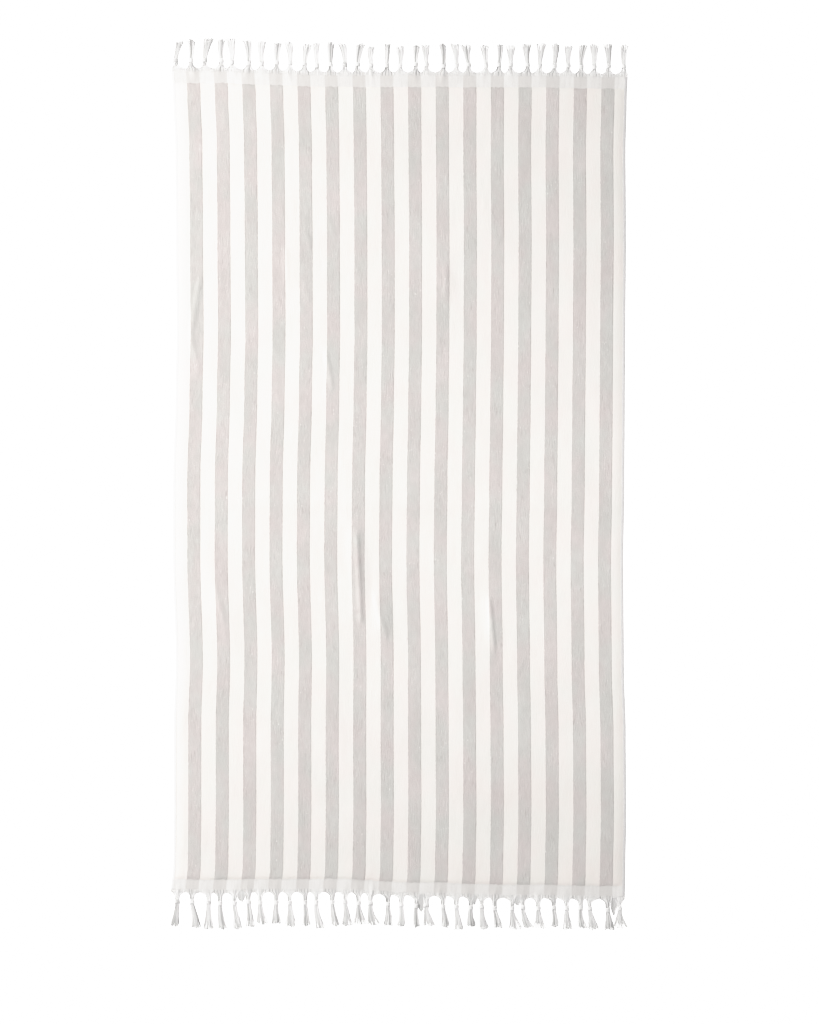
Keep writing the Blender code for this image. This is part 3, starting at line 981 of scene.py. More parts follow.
@dataclass(frozen=True)
class BackFinish:
    """The looped underside of the pile cloth."""

    name: str = "looped_back"
    white: tuple = (0.90, 0.885, 0.865, 1.0)
    sand: tuple = (0.69, 0.655, 0.62, 1.0)
    shadow: tuple = (0.35, 0.32, 0.30, 1.0)
    depth: float = 1.2 * MM

    def build(self, effects: SharedEffects) -> bpy.types.Material:
        """Makes the material.

        Args:
            effects: The shared node groups.

        Returns:
            The material.
        """
        material, nodes, shader = new_material(self.name, 0.9, 0.1)
        place = place_of_cloth(nodes)
        sand = effects.use(nodes, Effect.STRIPES, place, Softness=1.0 * MM, Waver=2.0 * MM)["Sand"]
        tufts = effects.use(nodes, Effect.TUFTS, place, Streaks=0.35, Fineness=0.6)
        colour = nodes.blend(sand, self.white, self.sand)
        shade = nodes.maths("MULTIPLY", nodes.maths("SUBTRACT", 1.0, tufts["Shade"]), 0.25)
        nodes.put(nodes.blend(shade, colour, self.shadow), shader.inputs["Base Color"])
        nodes.put(nodes.ramp(tufts["Shade"], 0.0, 1.0, 0.98, 0.84), shader.inputs["Roughness"])
        bump(nodes, shader, tufts["Height"], self.depth, 0.8)
        return material


@dataclass(frozen=True)
class YarnFinish:
    """Soft twisted cotton yarn, each strand white, dark grey or between: the dark grey is sand yarn with
    painted shade.
    """

    name: str
    white: tuple = (0.93, 0.922, 0.912, 1.0)
    # The dark colour is far darker than the pile's sand: painted shade of the tassels' shaded strands is in
    # it
    sand: tuple = (0.47, 0.461, 0.453, 1.0)
    groove_shade: tuple = (0.40, 0.39, 0.385, 1.0)
    plies: float = 2.0
    turn: float = 5.0 * MM
    depth: float = 0.3 * MM

    def build(self, effects: SharedEffects) -> bpy.types.Material:
        """Makes the material.

        Args:
            effects: The shared node groups.

        Returns:
            The material.
        """
        material, nodes, shader = new_material(self.name, 0.88, 0.15)
        lie = nodes.add("UVMap", uv_map=YARN_MAP).outputs["UV"]
        twist = effects.use(nodes, Effect.TWIST, lie, Plies=self.plies, Turn=self.turn)
        share = nodes.add("Attribute", attribute_name=SAND_AND_SHADE_SHARE).outputs["Fac"]
        colour = nodes.blend(share, self.white, self.sand)
        # Painted shade: the grooves between the plies are darkened in the colour
        colour = nodes.blend(nodes.maths("MULTIPLY", twist["Groove Shade"], 0.15), colour, self.groove_shade)
        nodes.put(colour, shader.inputs["Base Color"])
        nodes.put(nodes.ramp(twist["Height"], 0.0, 1.2, 0.95, 0.8), shader.inputs["Roughness"])
        bump(nodes, shader, twist["Height"], self.depth, 0.8)
        return material


@dataclass(frozen=True)
class FloorFinish:
    """The plain pale floor."""

    name: str = "pale_floor"
    colour: tuple = (0.90, 0.90, 0.90, 1.0)
    speckles: float = 40.0
    glow: float = 1.2

    def build(self) -> bpy.types.Material:
        """Makes the material: matt white paper, lit a little from behind."""
        material, nodes, shader = new_material(self.name, 0.9, 0.0)
        speckle = nodes.noise(nodes.add("TexCoord").outputs["Object"], self.speckles, 3.0)
        nodes.put(nodes.blend(speckle, self.colour, WHITE), shader.inputs["Base Color"])
        shader.inputs["Emission Color"].default_value = WHITE
        shader.inputs["Emission Strength"].default_value = self.glow
        return material


def link(name: str, data: bpy.types.ID) -> bpy.types.Object:
    """Puts a mesh, a light or a camera into the scene.

    Args:
        name: The new object's name.
        data: What it shows.

    Returns:
        The new object.
    """
    obj = bpy.data.objects.new(name, data)
    bpy.context.scene.collection.objects.link(obj)
    return obj


def note_place(mesh: bpy.types.Mesh, flat: np.ndarray) -> None:
    """Notes each point's place on the flat cloth, which the finishes read."""
    attribute = mesh.attributes.new(PLACE_NAME, "FLOAT_VECTOR", "POINT")
    attribute.data.foreach_set("vector", flat.astype(np.float32).ravel())


def show(obj: bpy.types.Object, nodes: tuple[str, ...]) -> None:
    """Puts a piece on the towel: it rides with it and stands for its CAD nodes.

    Args:
        obj: The piece.
        nodes: The CAD nodes that it stands for.
    """
    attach(obj, "root")
    if nodes:
        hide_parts(*nodes)
    triangles = sum(len(face.vertices) - 2 for face in obj.data.polygons)
    log.info("%s: %d triangles", obj.name, triangles)


@dataclass
class Cloth:
    """The woven length: pile field, headings and side hems in one closed sheet."""

    plan: TowelPlan
    columns_in_stripe: int = 5
    columns_at_pucker: int = 10
    row_gap: float = 11.4 * MM
    heading_columns: int = 4
    flat_side: float = 25 * MM
    flat_end: float = 40 * MM
    edge_reach: float = 4 * MM
    edge_bumps: float = 5 * MM
    edge_wander: float = 1.5 * MM
    edge_seed: int = 3
    tufty_above: float = 2.7 * MM
    end_share: float = 0.6
    end_taper: float = 3.0 * MM
    roll_height: float = 0.25 * MM
    roll_width: float = 1.3 * MM
    hem_end: float = 6.6 * MM
    bake_gap: float = 0.01

    def across_lines(self) -> np.ndarray:
        """Distances from the left side to each line of points along the cloth."""
        hem = [row.distance * MM for row in HEM_PROFILE] + [row.distance * MM for row in PILE_SIDE[1:]]
        right = [self.plan.width - line for line in reversed(hem)]
        stops = [hem[-1], *self.plan.stripe_lines(), right[0]]
        inner: list[float] = []
        for start, end in zip(stops, stops[1:]):
            inner += list(np.linspace(start, end, self.columns_between(start, end) + 1)[1:])
        return np.array(hem + inner[:-1] + right)

    def columns_between(self, start: float, end: float) -> int:
        """How many columns of faces a stripe has: more where a narrow pucker crosses it.

        Args:
            start: The distance from the left side to the stripe.
            end: The distance to its other side.

        Returns:
            The number of columns.
        """
        for pucker in PUCKERS:
            low = min(pucker.x0, pucker.x1) - pucker.half_width
            high = max(pucker.x0, pucker.x1) + pucker.half_width
            if low * MM < end - self.plan.width / 2 and high * MM > start - self.plan.width / 2:
                return self.columns_at_pucker
        return self.columns_in_stripe

    def end_lines(self, heading: float) -> list[float]:
        """Distances from one end to the lines of points across its heading and the pile's end.

        Args:
            heading: The heading's length.

        Returns:
            The distances, in order.
        """
        woven = [row.distance * MM for row in HEADING_PROFILE]
        edge = [heading + row.distance * MM for row in PILE_END]
        return woven + list(np.linspace(woven[-1], edge[0], self.heading_columns)[1:-1]) + edge

    def along_lines(self) -> np.ndarray:
        """Distances from the foot to each line of points across the cloth."""
        foot = self.end_lines(self.plan.foot_heading)
        head = [self.plan.length - line for line in reversed(self.end_lines(self.plan.head_heading))]
        count = round((head[0] - foot[-1]) / self.row_gap)
        return np.array(foot + list(np.linspace(foot[-1], head[0], count + 1)[1:-1]) + head)

    def thickness(self, across: np.ndarray, along: np.ndarray) -> np.ndarray:
        """The cloth's thickness, from its flat places.

        Args:
            across: Distances from the left side.
            along: Distances from the foot.

        Returns:
            The thickness at each place.
        """
        side = np.minimum(across, self.plan.width - across)
        near_foot = along < self.plan.length / 2
        end = np.where(near_foot, along, self.plan.length - along)
        past = end - np.where(near_foot, self.plan.foot_heading, self.plan.head_heading)
        in_pile = past > PILE_END[0].distance * MM
        middle = np.where(in_pile, profile(PILE_END, past), profile(HEADING_PROFILE, end))
        stitched = HEM_PROFILE[-1].thickness
        inside = stitched + (middle - stitched) * profile(PILE_SIDE, side)
        taper = self.end_share + (1.0 - self.end_share) * ease(end / self.end_taper)
        return np.where(side <= self.hem_end, profile(HEM_PROFILE, side) * taper, inside) * MM

    def grid(self) -> tuple[np.ndarray, np.ndarray, np.ndarray, np.ndarray]:
        """Finds the points of the cloth's top and underside.

        Returns:
            The flat places across and along, and the top's and the underside's points.
        """
        across, along = np.meshgrid(self.across_lines(), self.along_lines())
        x, y = self.plan.place(across / self.plan.width, along / self.plan.length)
        thick = self.thickness(across, along)
        side = np.minimum(across, self.plan.width - across)
        end = np.minimum(along, self.plan.length - along)
        inner = ease(side / self.flat_side) * ease(end / self.flat_end)
        near_pile_end = np.maximum(
            1.0 - np.abs(along - self.plan.foot_heading) / self.edge_reach,
            1.0 - np.abs(self.plan.length - along - self.plan.head_heading) / self.edge_reach,
        )
        wander = self.edge_wander * soft_noise(x, np.zeros_like(x), self.edge_bumps, self.edge_seed)
        y = y + wander * np.clip(near_pile_end, 0.0, 1.0)
        ground = self.plan.lift(x, y) + self.plan.pleats(across, along)
        for row in RIPPLES:
            bumps = soft_noise(x, y * row.stretch, row.size * MM, row.seed)
            ground += row.height * MM * inner * (1 + bumps)
        bumps = soft_noise(x, y * PILE_RIPPLE.stretch, PILE_RIPPLE.size * MM, PILE_RIPPLE.seed)
        tufty = 1 + PILE_RIPPLE.height * bumps * (thick > self.tufty_above)
        top = np.stack([x, y, ground + thick * tufty], axis=-1)
        rolled = self.roll_height * (1 - ease(side / self.roll_width))
        under = np.stack([x, y, ground + rolled], axis=-1)
        return across, along, top, under

    def zone(self, across: float, along: float, on_top: bool) -> Zone:
        """Which finish a face has.

        Args:
            across: Its middle's distance from the left side.
            along: Its middle's distance from the foot.
            on_top: Whether it faces up.

        Returns:
            Its zone.
        """
        if min(across, self.plan.width - across) < self.hem_end:
            return Zone.HEM
        if along < self.plan.foot_heading or along > self.plan.length - self.plan.head_heading:
            return Zone.HEADING
        return Zone.PILE if on_top else Zone.BACK

    def build(self, materials: dict[Zone, bpy.types.Material]) -> bpy.types.Object:
        """Makes the cloth.

        Args:
            materials: The finish of each zone.

        Returns:
            The cloth.
        """
        across, along, top, under = self.grid()
        rows, columns = across.shape
        index = np.arange(rows * columns).reshape(rows, columns)
        lower = index + rows * columns
        corner = (slice(None, -1), slice(None, -1))
        right = (slice(None, -1), slice(1, None))
        across_corner = (slice(1, None), slice(1, None))
        up = (slice(1, None), slice(None, -1))
        around = (corner, right, across_corner, up)
        back_around = (corner, up, across_corner, right)
        upper_faces = np.stack([index[k] for k in around], axis=-1).reshape(-1, 4)
        lower_faces = np.stack([lower[k] for k in back_around], axis=-1).reshape(-1, 4)
        loop = np.concatenate([index[0], index[1:-1, -1], index[-1, ::-1], index[-2:0:-1, 0]])
        following = np.roll(loop, -1)
        shift = rows * columns
        rim_faces = np.stack([loop, loop + shift, following + shift, following], axis=-1)
        points = np.concatenate([top.reshape(-1, 3), under.reshape(-1, 3)])
        faces = np.concatenate([upper_faces, lower_faces, rim_faces])
        mesh = bpy.data.meshes.new("cloth")
        mesh.from_pydata(points.tolist(), [], faces.tolist())
        flat = np.stack([across.ravel(), along.ravel(), np.zeros(shift)], axis=-1)
        flat = np.concatenate([flat, flat])
        middles = flat[faces].mean(axis=1)
        upper_count = len(upper_faces)
        zones = [
            self.zone(middle[0], middle[1], k < upper_count).value for k, middle in enumerate(middles)
        ]
        mesh.polygons.foreach_set("material_index", zones)
        note_place(mesh, flat)
        self.lay_bake_map(mesh, faces, flat, upper_count, len(rim_faces))
        for zone in Zone:
            mesh.materials.append(materials[zone])
        mesh.shade_smooth()
        mesh.update()
        return link("pile_cloth", mesh)

    def lay_bake_map(
        self, mesh: bpy.types.Mesh, faces: np.ndarray, flat: np.ndarray, upper: int, rim: int
    ) -> None:
        """Lays the cloth's top, underside and rim out flat, side by side.

        Args:
            mesh: The cloth's mesh.
            faces: Its faces.
            flat: The flat place of each point.
            upper: How many faces are on top.
            rim: How many faces go round the edge.
        """
        across = flat[faces][:, :, 0]
        along = flat[faces][:, :, 1]
        total = len(faces)
        across[upper : total - rim] = 2 * self.plan.width + 4 * self.bake_gap - across[upper : total - rim]
        edge_top = [0, 3]
        for k in range(total - rim, total):
            side = min(across[k].mean(), self.plan.width - across[k].mean())
            if side < self.bake_gap / 4:
                way = -1.0 if across[k].mean() < self.plan.width / 2 else 1.0
                across[k] += way * self.bake_gap / 2
                across[k][edge_top] -= way * self.bake_gap / 4
            else:
                way = -1.0 if along[k].mean() < self.plan.length / 2 else 1.0
                along[k] += way * self.bake_gap / 2
                along[k][edge_top] -= way * self.bake_gap / 4
        scale = 1.0 / (2 * self.plan.width + 8 * self.bake_gap)
        uv = np.stack([(across + self.bake_gap) * scale, (along + self.bake_gap) * scale], axis=-1)
        layer = mesh.uv_layers.new(name=BAKE_MAP)
        layer.data.foreach_set("uv", uv.astype(np.float32).ravel())


class YarnMesh:
    """Collects yarns as tubes in one mesh, with each yarn's own coordinates for its twist."""

    def __init__(self) -> None:
        """Starts with no yarns."""
        self.points: list[np.ndarray] = []
        self.faces: list[np.ndarray] = []
        self.lies: list[np.ndarray] = []
        self.shares: list[np.ndarray] = []
        self.count = 0

    def add(
        self,
        path: np.ndarray,
        radii: np.ndarray,
        sides: int,
        sand: float,
        flat: float = 1.0,
        wrapped: bool = False,
    ) -> None:
        """Adds one yarn along a path.

        Args:
            path: Its middle line.
            radii: Its radius at each point of the line.
            sides: How many sides the tube has.
            sand: How much it has of the dark yarn colour, which is sand yarn with painted shade.
            flat: Its height as a share of its width.
            wrapped: Whether it goes round a bundle, rather than along the ground.
        """
        tangent = np.gradient(path, axis=0)
        tangent /= np.linalg.norm(tangent, axis=1)[:, None]
        guide = np.array([0.0, 1.0, 0.0]) if wrapped else np.array([0.0, 0.0, 1.0])
        side = np.cross(tangent, guide)
        side /= np.linalg.norm(side, axis=1)[:, None]
        normal = np.cross(side, tangent)
        turn = np.linspace(0.0, 2 * math.pi, sides, endpoint=False)
        ring = side[:, None, :] * np.cos(turn)[None, :, None]
        ring = ring + normal[:, None, :] * (np.sin(turn) * flat)[None, :, None]
        points = path[:, None, :] + ring * radii[:, None, None]
        rings = len(path)
        index = self.count + np.arange(rings * sides).reshape(rings, sides)
        following = np.roll(index, -1, axis=1)
        faces = np.stack([index[:-1], following[:-1], following[1:], index[1:]], axis=-1).reshape(-1, 4)
        run = np.concatenate([[0.0], np.cumsum(np.linalg.norm(np.diff(path, axis=0), axis=1))])
        around = np.arange(sides) / sides
        lie = np.zeros((rings - 1, sides, 4, 2))
        corners = ((0, run[:-1]), (1, run[:-1]), (1, run[1:]), (0, run[1:]))
        for corner, (turned, stretch) in enumerate(corners):
            lie[:, :, corner, 0] = around + turned / sides
            lie[:, :, corner, 1] = stretch[:, None]
        self.points.append(points.reshape(-1, 3))
        self.faces.append(faces)
        self.lies.append(lie.reshape(-1, 2))
        self.shares.append(np.full(rings * sides, sand))
        self.count += rings * sides

    def build(self, name: str, material: bpy.types.Material) -> bpy.types.Object:
        """Makes one piece of all the yarns.

        Args:
            name: The piece's name.
            material: Its finish.

        Returns:
            The piece.
        """
        mesh = bpy.data.meshes.new(name)
        mesh.from_pydata(np.concatenate(self.points).tolist(), [], np.concatenate(self.faces).tolist())
        layer = mesh.uv_layers.new(name=YARN_MAP)
        layer.data.foreach_set("uv", np.concatenate(self.lies).astype(np.float32).ravel())
        attribute = mesh.attributes.new(SAND_AND_SHADE_SHARE, "FLOAT", "POINT")
        attribute.data.foreach_set("value", np.concatenate(self.shares).astype(np.float32))
        mesh.materials.append(material)
        mesh.shade_smooth()
        mesh.update()
        return link(name, mesh)


@dataclass
class HemStitching:
    """The straight line of stitches that holds one side hem."""

    plan: TowelPlan
    inset: float = 6.3 * MM
    pitch: float = 3.4 * MM
    stitch: float = 2.6 * MM
    thread: float = 0.28 * MM
    thread_sides: int = 5
    first_stitch: float = 0.8
    level: float = 1.86 * MM
    rise: tuple = (-0.35 * MM, 0.12 * MM, 0.2 * MM, 0.12 * MM, -0.35 * MM)

    def build(self, name: str, on_left: bool, material: bpy.types.Material) -> bpy.types.Object:
        """Makes one side's stitching.

        Args:
            name: The piece's name.
            on_left: Whether it is the left side's.
            material: Its finish.

        Returns:
            The piece.
        """
        yarns = YarnMesh()
        across = self.inset if on_left else self.plan.width - self.inset
        count = int((self.plan.length - self.pitch) / self.pitch)
        steps = np.linspace(-0.5, 0.5, len(self.rise))
        inset = np.full_like(steps, across / self.plan.width)
        radii = np.full_like(steps, self.thread)
        for k in range(count):
            along = (k + self.first_stitch) * self.pitch + steps * self.stitch
            x, y = self.plan.place(inset, along / self.plan.length)
            z = self.plan.lift(x, y) + self.level + np.array(self.rise)
            yarns.add(np.stack([x, y, z], axis=-1), radii, self.thread_sides, 0.0)
        return yarns.build(name, material)


@dataclass
class Fringe:
    """One end's fringe: a thin woven edge, gathered warp ends, knots and tassels."""

    plan: TowelPlan
    end: End
    tassels: tuple
    strays: tuple
    tints: tuple
    loose_locks: tuple
    gather: float
    seed: int
    strip_depth: float = 9.3 * MM
    strip_thickness: float = 1.2 * MM
    strip_floor: float = 0.05 * MM
    strip_overlap: float = 0.6 * MM
    strip_columns: int = 12
    strip_wander: float = 0.5 * MM
    strip_bumps: float = 4 * MM
    least_span: float = 0.5 * MM
    sharp_angle: float = math.radians(60)
    arch_start: float = 6.5 * MM
    arch_radius: float = 9.0 * MM
    arch_weave: float = 7.0 * MM
    warp_ends: int = 13
    warp_start: float = -2.0 * MM
    warp_level: float = 1.15 * MM
    warp_inset: float = 0.7 * MM
    warp_bow: float = 0.5 * MM
    warp_points: int = 13
    dark_warp_step: int = 3
    bundle_half: float = 5.8 * MM
    knot_half: float = 4.5 * MM
    knot_depth: float = 8.0 * MM
    knot_turns: int = 4
    knot_pitch: float = 2.1 * MM
    knot_yarn: float = 1.35 * MM
    knot_level: float = 3.05 * MM
    knot_bulge: float = 0.6 * MM
    knot_tilts: tuple = (1.2 * MM, 2.2 * MM)
    knot_waver: float = 0.3 * MM
    knot_overlap: float = 0.2
    knot_points: int = 22
    knot_sides: int = 7
    cross_yarn: float = 1.1 * MM
    cross_start: float = 1.5 * MM
    cross_reach: float = 7.5 * MM
    cross_level: float = 0.72
    cross_points: int = 9
    yarns_in_tassel: int = 21
    tassel_points: int = 12
    tassel_bow: float = 1.4 * MM
    lean_curve: float = 1.3
    yarn_radius: float = 0.92 * MM
    layer_height: float = 1.3 * MM
    root_rise: float = 1.2 * MM
    root_share: float = 0.35
    yarn_sides: int = 6
    strand_widths: tuple = (0.10, 0.24)
    locks: int = 4
    lock_pull: float = 0.12
    flare: float = 1.12
    fibres: int = 5
    fibre_radius: float = 0.34 * MM
    fibre_sides: int = 3
    fibre_lengths: tuple = (1.5 * MM, 5.5 * MM)
    fibre_floor: float = 0.25 * MM
    fibre_overlap: float = 1.0 * MM
    fibre_points: int = 4
    wisps: int = 14
    wisp_start: float = 0.35
    wisp_points: int = 6
    stray_points: int = 9
    stray_level: float = 0.7 * MM
    stray_start: float = 7 * MM
    yarns_in_lock: int = 9
    lock_points: int = 10
    lock_root: float = 4.0 * MM

    def __post_init__(self) -> None:
        """Readies the random numbers of this end."""
        self.random = np.random.default_rng(self.seed)

    def lines(self) -> np.ndarray:
        """Distances from the left side to the tassels' limits."""
        return np.concatenate([[0.0], self.plan.stripe_lines(), [self.plan.width]])

    def edge(self, across: np.ndarray) -> tuple[np.ndarray, np.ndarray]:
        """Points of the cloth's end edge.

        Args:
            across: Distances from the left side.

        Returns:
            Their x and y.
        """
        return self.plan.place(across / self.plan.width, np.full_like(across, self.end.along))

    def middle(self, index: int) -> tuple[float, float]:
        """Where a tassel's middle line meets the cloth's end.

        Args:
            index: The tassel's number from the left.

        Returns:
            Its x and y.
        """
        lines = self.lines()
        x, y = self.edge(np.array([(lines[index] + lines[index + 1]) / 2]))
        return x[0] + self.tassels[index].shift * MM, y[0]

    def knot_start(self) -> float:
        """The distance from the cloth's end to the knots."""
        return self.strip_depth + self.gather

    def pleat(self, across: np.ndarray) -> np.ndarray:
        """How high the heading's pleats stand at the cloth's end."""
        return self.plan.pleats(across, np.full_like(across, self.end.along * self.plan.length))

    def sand_and_shade_of_tassel(self, index: int) -> np.ndarray:
        """How much of the dark yarn colour each yarn of a tassel has: sand yarn and painted shade.

        Args:
            index: The tassel's number from the left.

        Returns:
            One share for each yarn: a dark strand or two in a sand stripe's tassel, mostly on its right
                side
            away from the key light, and a faint grey strand of painted shade in a white's.
        """
        place = np.linspace(-1.0, 1.0, self.yarns_in_tassel)
        mix = SAND_MIX if index % 2 == 1 else WHITE_MIX
        shares = self.random.uniform(0.0, mix.plain, self.yarns_in_tassel)
        # Painted shade: the dark strands stand for the shade between a tassel's yarns and on its side away
        # from the key light, and in a sand stripe's tassel for sand yarn as well
        for _ in range(self.random.integers(1, 3)):
            middle = self.random.uniform(mix.left, mix.right)
            strand = np.abs(place - middle) < self.random.uniform(*self.strand_widths)
            dark = self.random.uniform(mix.palest, mix.darkest)
            dark = dark * self.random.uniform(0.85, 1.1, self.yarns_in_tassel)
            shares = np.where(strand, dark, shares)
        for tint in self.tints:
            if tint.tassel == index:
                shares = tint.sand * self.random.uniform(0.6, 1.2, self.yarns_in_tassel)
        return shares

    def sand_of_warp(self, index: int) -> np.ndarray:
        """How much sand each gathered warp end has: a sand stripe's are sand and white by turns.

        Args:
            index: The tassel's number from the left.

        Returns:
            One share for each warp end.
        """
        if index % 2 == 0:
            return self.random.uniform(0.0, 0.22, self.warp_ends)
        step = self.dark_warp_step
        is_dark = (np.arange(self.warp_ends) + self.random.integers(0, step)) % step == 0
        is_dark &= self.random.random(self.warp_ends) < 0.8
        is_dark[[0, -1]] = False
        dark = self.random.uniform(0.6, 1.0, self.warp_ends)
        pale = self.random.uniform(0.0, 0.3, self.warp_ends)
        return np.where(is_dark, dark, pale)

    def woven_edge(self, material: bpy.types.Material) -> bpy.types.Object:
        """Makes the thin woven edge that the warp ends leave, arched between the tassels.

        Args:
            material: Its finish.

        Returns:
            The piece.
        """
        lines = self.lines()
        stripes = [np.linspace(a, b, self.strip_columns + 1)[:-1] for a, b in zip(lines, lines[1:])]
        across = np.concatenate([*stripes, lines[-1:]])
        x, y = self.edge(across)
        number = np.clip(np.searchsorted(lines, across, side="right") - 1, 0, len(lines) - 2)
        shifts = np.array([tassel.shift for tassel in self.tassels]) * MM
        centre = (lines[number] + lines[number + 1]) / 2 + shifts[number]
        on_left = across < centre
        away = np.where(on_left, across - lines[number], lines[number + 1] - across)
        span = np.where(on_left, centre - lines[number], lines[number + 1] - centre) - self.bundle_half
        turn = np.clip(away / np.maximum(span, self.least_span), 0.0, 1.0)
        reach = self.arch_start + self.arch_weave * (1.0 - np.sqrt(1.0 - turn**2))
        reach += self.strip_wander * soft_noise(x, np.zeros_like(x), self.strip_bumps, self.seed)
        section = [(rim.out, rim.thick * self.strip_thickness) for rim in STRIP_SECTION]
        section += [(rim.out, self.strip_floor) for rim in reversed(STRIP_SECTION)]
        pleat = self.pleat(across)
        rows = []
        for share, height in section:
            out = -self.strip_overlap + (reach + self.strip_overlap) * share
            rows.append(np.stack([x, y + self.end.outward * out, height + pleat], axis=-1))
        points = np.stack(rows)
        count, columns = points.shape[:2]
        index = np.arange(count * columns).reshape(count, columns)
        following = np.roll(index, -1, axis=0)
        sides = [index[:, :-1], index[:, 1:], following[:, 1:], following[:, :-1]]
        faces = np.stack(sides, axis=-1).reshape(-1, 4)
        if self.end is End.FOOT:
            faces = faces[:, ::-1]
        faces = faces.tolist() + [index[:, 0].tolist(), index[::-1, -1].tolist()]
        mesh = bpy.data.meshes.new("woven_edge")
        mesh.from_pydata(points.reshape(-1, 3).tolist(), [], faces)
        flat_along = self.plan.length * self.end.along + (points[:, :, 1] - y[None, :])
        flat_across = np.broadcast_to(across, flat_along.shape)
        flat = np.stack([flat_across, flat_along, np.zeros_like(flat_along)], axis=-1)
        note_place(mesh, flat)
        mesh.materials.append(material)
        mesh.shade_smooth()
        mesh.set_sharp_from_angle(angle=self.sharp_angle)
        return link(self.end.label + "_woven_edge", mesh)

    def gathered(self, yarns: YarnMesh, index: int) -> None:
        """Adds the warp ends that one tassel gathers from its stripe.

        Args:
            yarns: Where they go.
            index: The tassel's number from the left.
        """
        lines = self.lines()
        middle = (lines[index] + lines[index + 1]) / 2
        half = (lines[index + 1] - lines[index]) / 2 - self.warp_inset
        knot_x, _ = self.middle(index)
        stop = self.knot_start() + self.knot_depth / 2
        t = np.linspace(0.0, 1.0, self.warp_points)
        out = self.warp_start + (stop - self.warp_start) * t
        turn = np.clip((out - self.arch_start) / self.arch_radius, 0.0, 1.0)
        pull = np.sqrt(1.0 - (1.0 - turn) ** 2)
        rise = ease((out - self.arch_start) / (self.knot_start() - self.arch_start))
        bundle = self.bundle_half + (self.knot_half - self.bundle_half) * rise
        radii = np.interp(t, [0.0, 0.3, 1.0], [0.50, 0.85, 0.85]) * MM
        for k, sand in enumerate(self.sand_of_warp(index)):
            s = 2.0 * k / (self.warp_ends - 1) - 1.0 + self.random.uniform(-0.05, 0.05)
            root = np.array([middle + half * np.clip(s, -1, 1)])
            root_x, root_y = (value[0] for value in self.edge(root))
            bow = self.warp_bow * self.random.uniform(-1, 1) * np.sin(np.pi * t)
            x = root_x + (knot_x + s * bundle - root_x) * pull + bow
            y = root_y + self.end.outward * out
            layer = self.random.uniform(0.0, 1.0)
            low = self.warp_level + self.pleat(root)[0]
            z = low * (1.0 - rise) + (1.0 + 3.0 * layer) * MM * rise
            yarns.add(np.stack([x, y, z], axis=-1), radii, self.yarn_sides, sand, 0.8)

    def loose_lock(self, yarns: YarnMesh, lock: Lock) -> None:
        """Adds a flat lock of warp ends that no knot holds.

        Args:
            yarns: Where it goes.
            lock: Its row in the table.
        """
        middle = lock.x * MM + self.plan.width / 2
        _, root = (value[0] for value in self.edge(np.array([middle])))
        t = np.linspace(0.0, 1.0, self.lock_points)
        leaf = np.sin(np.pi * (0.18 + 0.70 * t)) ** 0.8
        for s in np.linspace(-1.0, 1.0, self.yarns_in_lock):
            reach = lock.length * MM * self.random.uniform(0.80, 1.0) + self.lock_root
            x = self.plan.shift[0] + (lock.x + s * lock.width / 2 * leaf) * MM
            y = root + self.end.outward * (self.arch_start - self.lock_root + reach * t)
            z = self.warp_level * (1.0 - 0.2 * t) + self.random.uniform(0.0, 0.5) * MM
            radii = lock.width / self.yarns_in_lock * np.interp(t, [0.0, 0.5, 1.0], [0.6, 0.75, 0.4]) * MM
            path = np.stack([x, y, z], axis=-1)
            yarns.add(path, radii, self.yarn_sides, lock.sand * self.random.uniform(0.6, 1.1), 0.6)
            self.fray(yarns, path, lock.sand)

    def knot(self, yarns: YarnMesh, index: int, sand: np.ndarray) -> None:
        """Adds one tassel's knot: strands wound round the bundle, with one that crosses them.

        Args:
            yarns: Where they go.
            index: The tassel's number from the left.
            sand: How much of the dark yarn colour, sand yarn with painted shade, each yarn has.
        """
        x, y = self.middle(index)
        tilt = self.random.choice([-1.0, 1.0]) * self.random.uniform(*self.knot_tilts)
        phase = self.random.uniform(-0.4, 0.4)
        turn = np.linspace(-self.knot_overlap, 2 * math.pi + self.knot_overlap, self.knot_points)
        radii = np.full_like(turn, self.knot_yarn)
        for k in range(self.knot_turns):
            out = self.knot_start() + self.knot_pitch * (k + 0.9)
            out = out + tilt * np.sin(turn + phase) + self.knot_waver * np.cos(2 * turn)
            wide = self.knot_half + self.knot_bulge * math.sin(math.pi * (k + 0.5) / self.knot_turns)
            high = self.knot_level - self.knot_yarn
            ring_x = x + wide * np.cos(turn)
            ring_z = self.knot_level + high * np.sin(turn)
            path = np.stack([ring_x, y + self.end.outward * out, ring_z], axis=-1)
            yarns.add(path, radii, self.knot_sides, sand[k], 1.0, True)
        t = np.linspace(0.0, 1.0, self.cross_points)
        side = math.copysign(1.0, tilt) * (self.knot_half + self.knot_bulge)
        out = self.knot_start() + self.cross_start + self.cross_reach * t
        cross_z = self.cross_level * self.knot_level + self.knot_level * np.sin(np.pi * t)
        path = np.stack([x + side * (1.0 - 2.0 * t), y + self.end.outward * out, cross_z], axis=-1)
        yarns.add(path, np.full_like(t, self.cross_yarn), self.knot_sides, sand[self.knot_turns + 1])

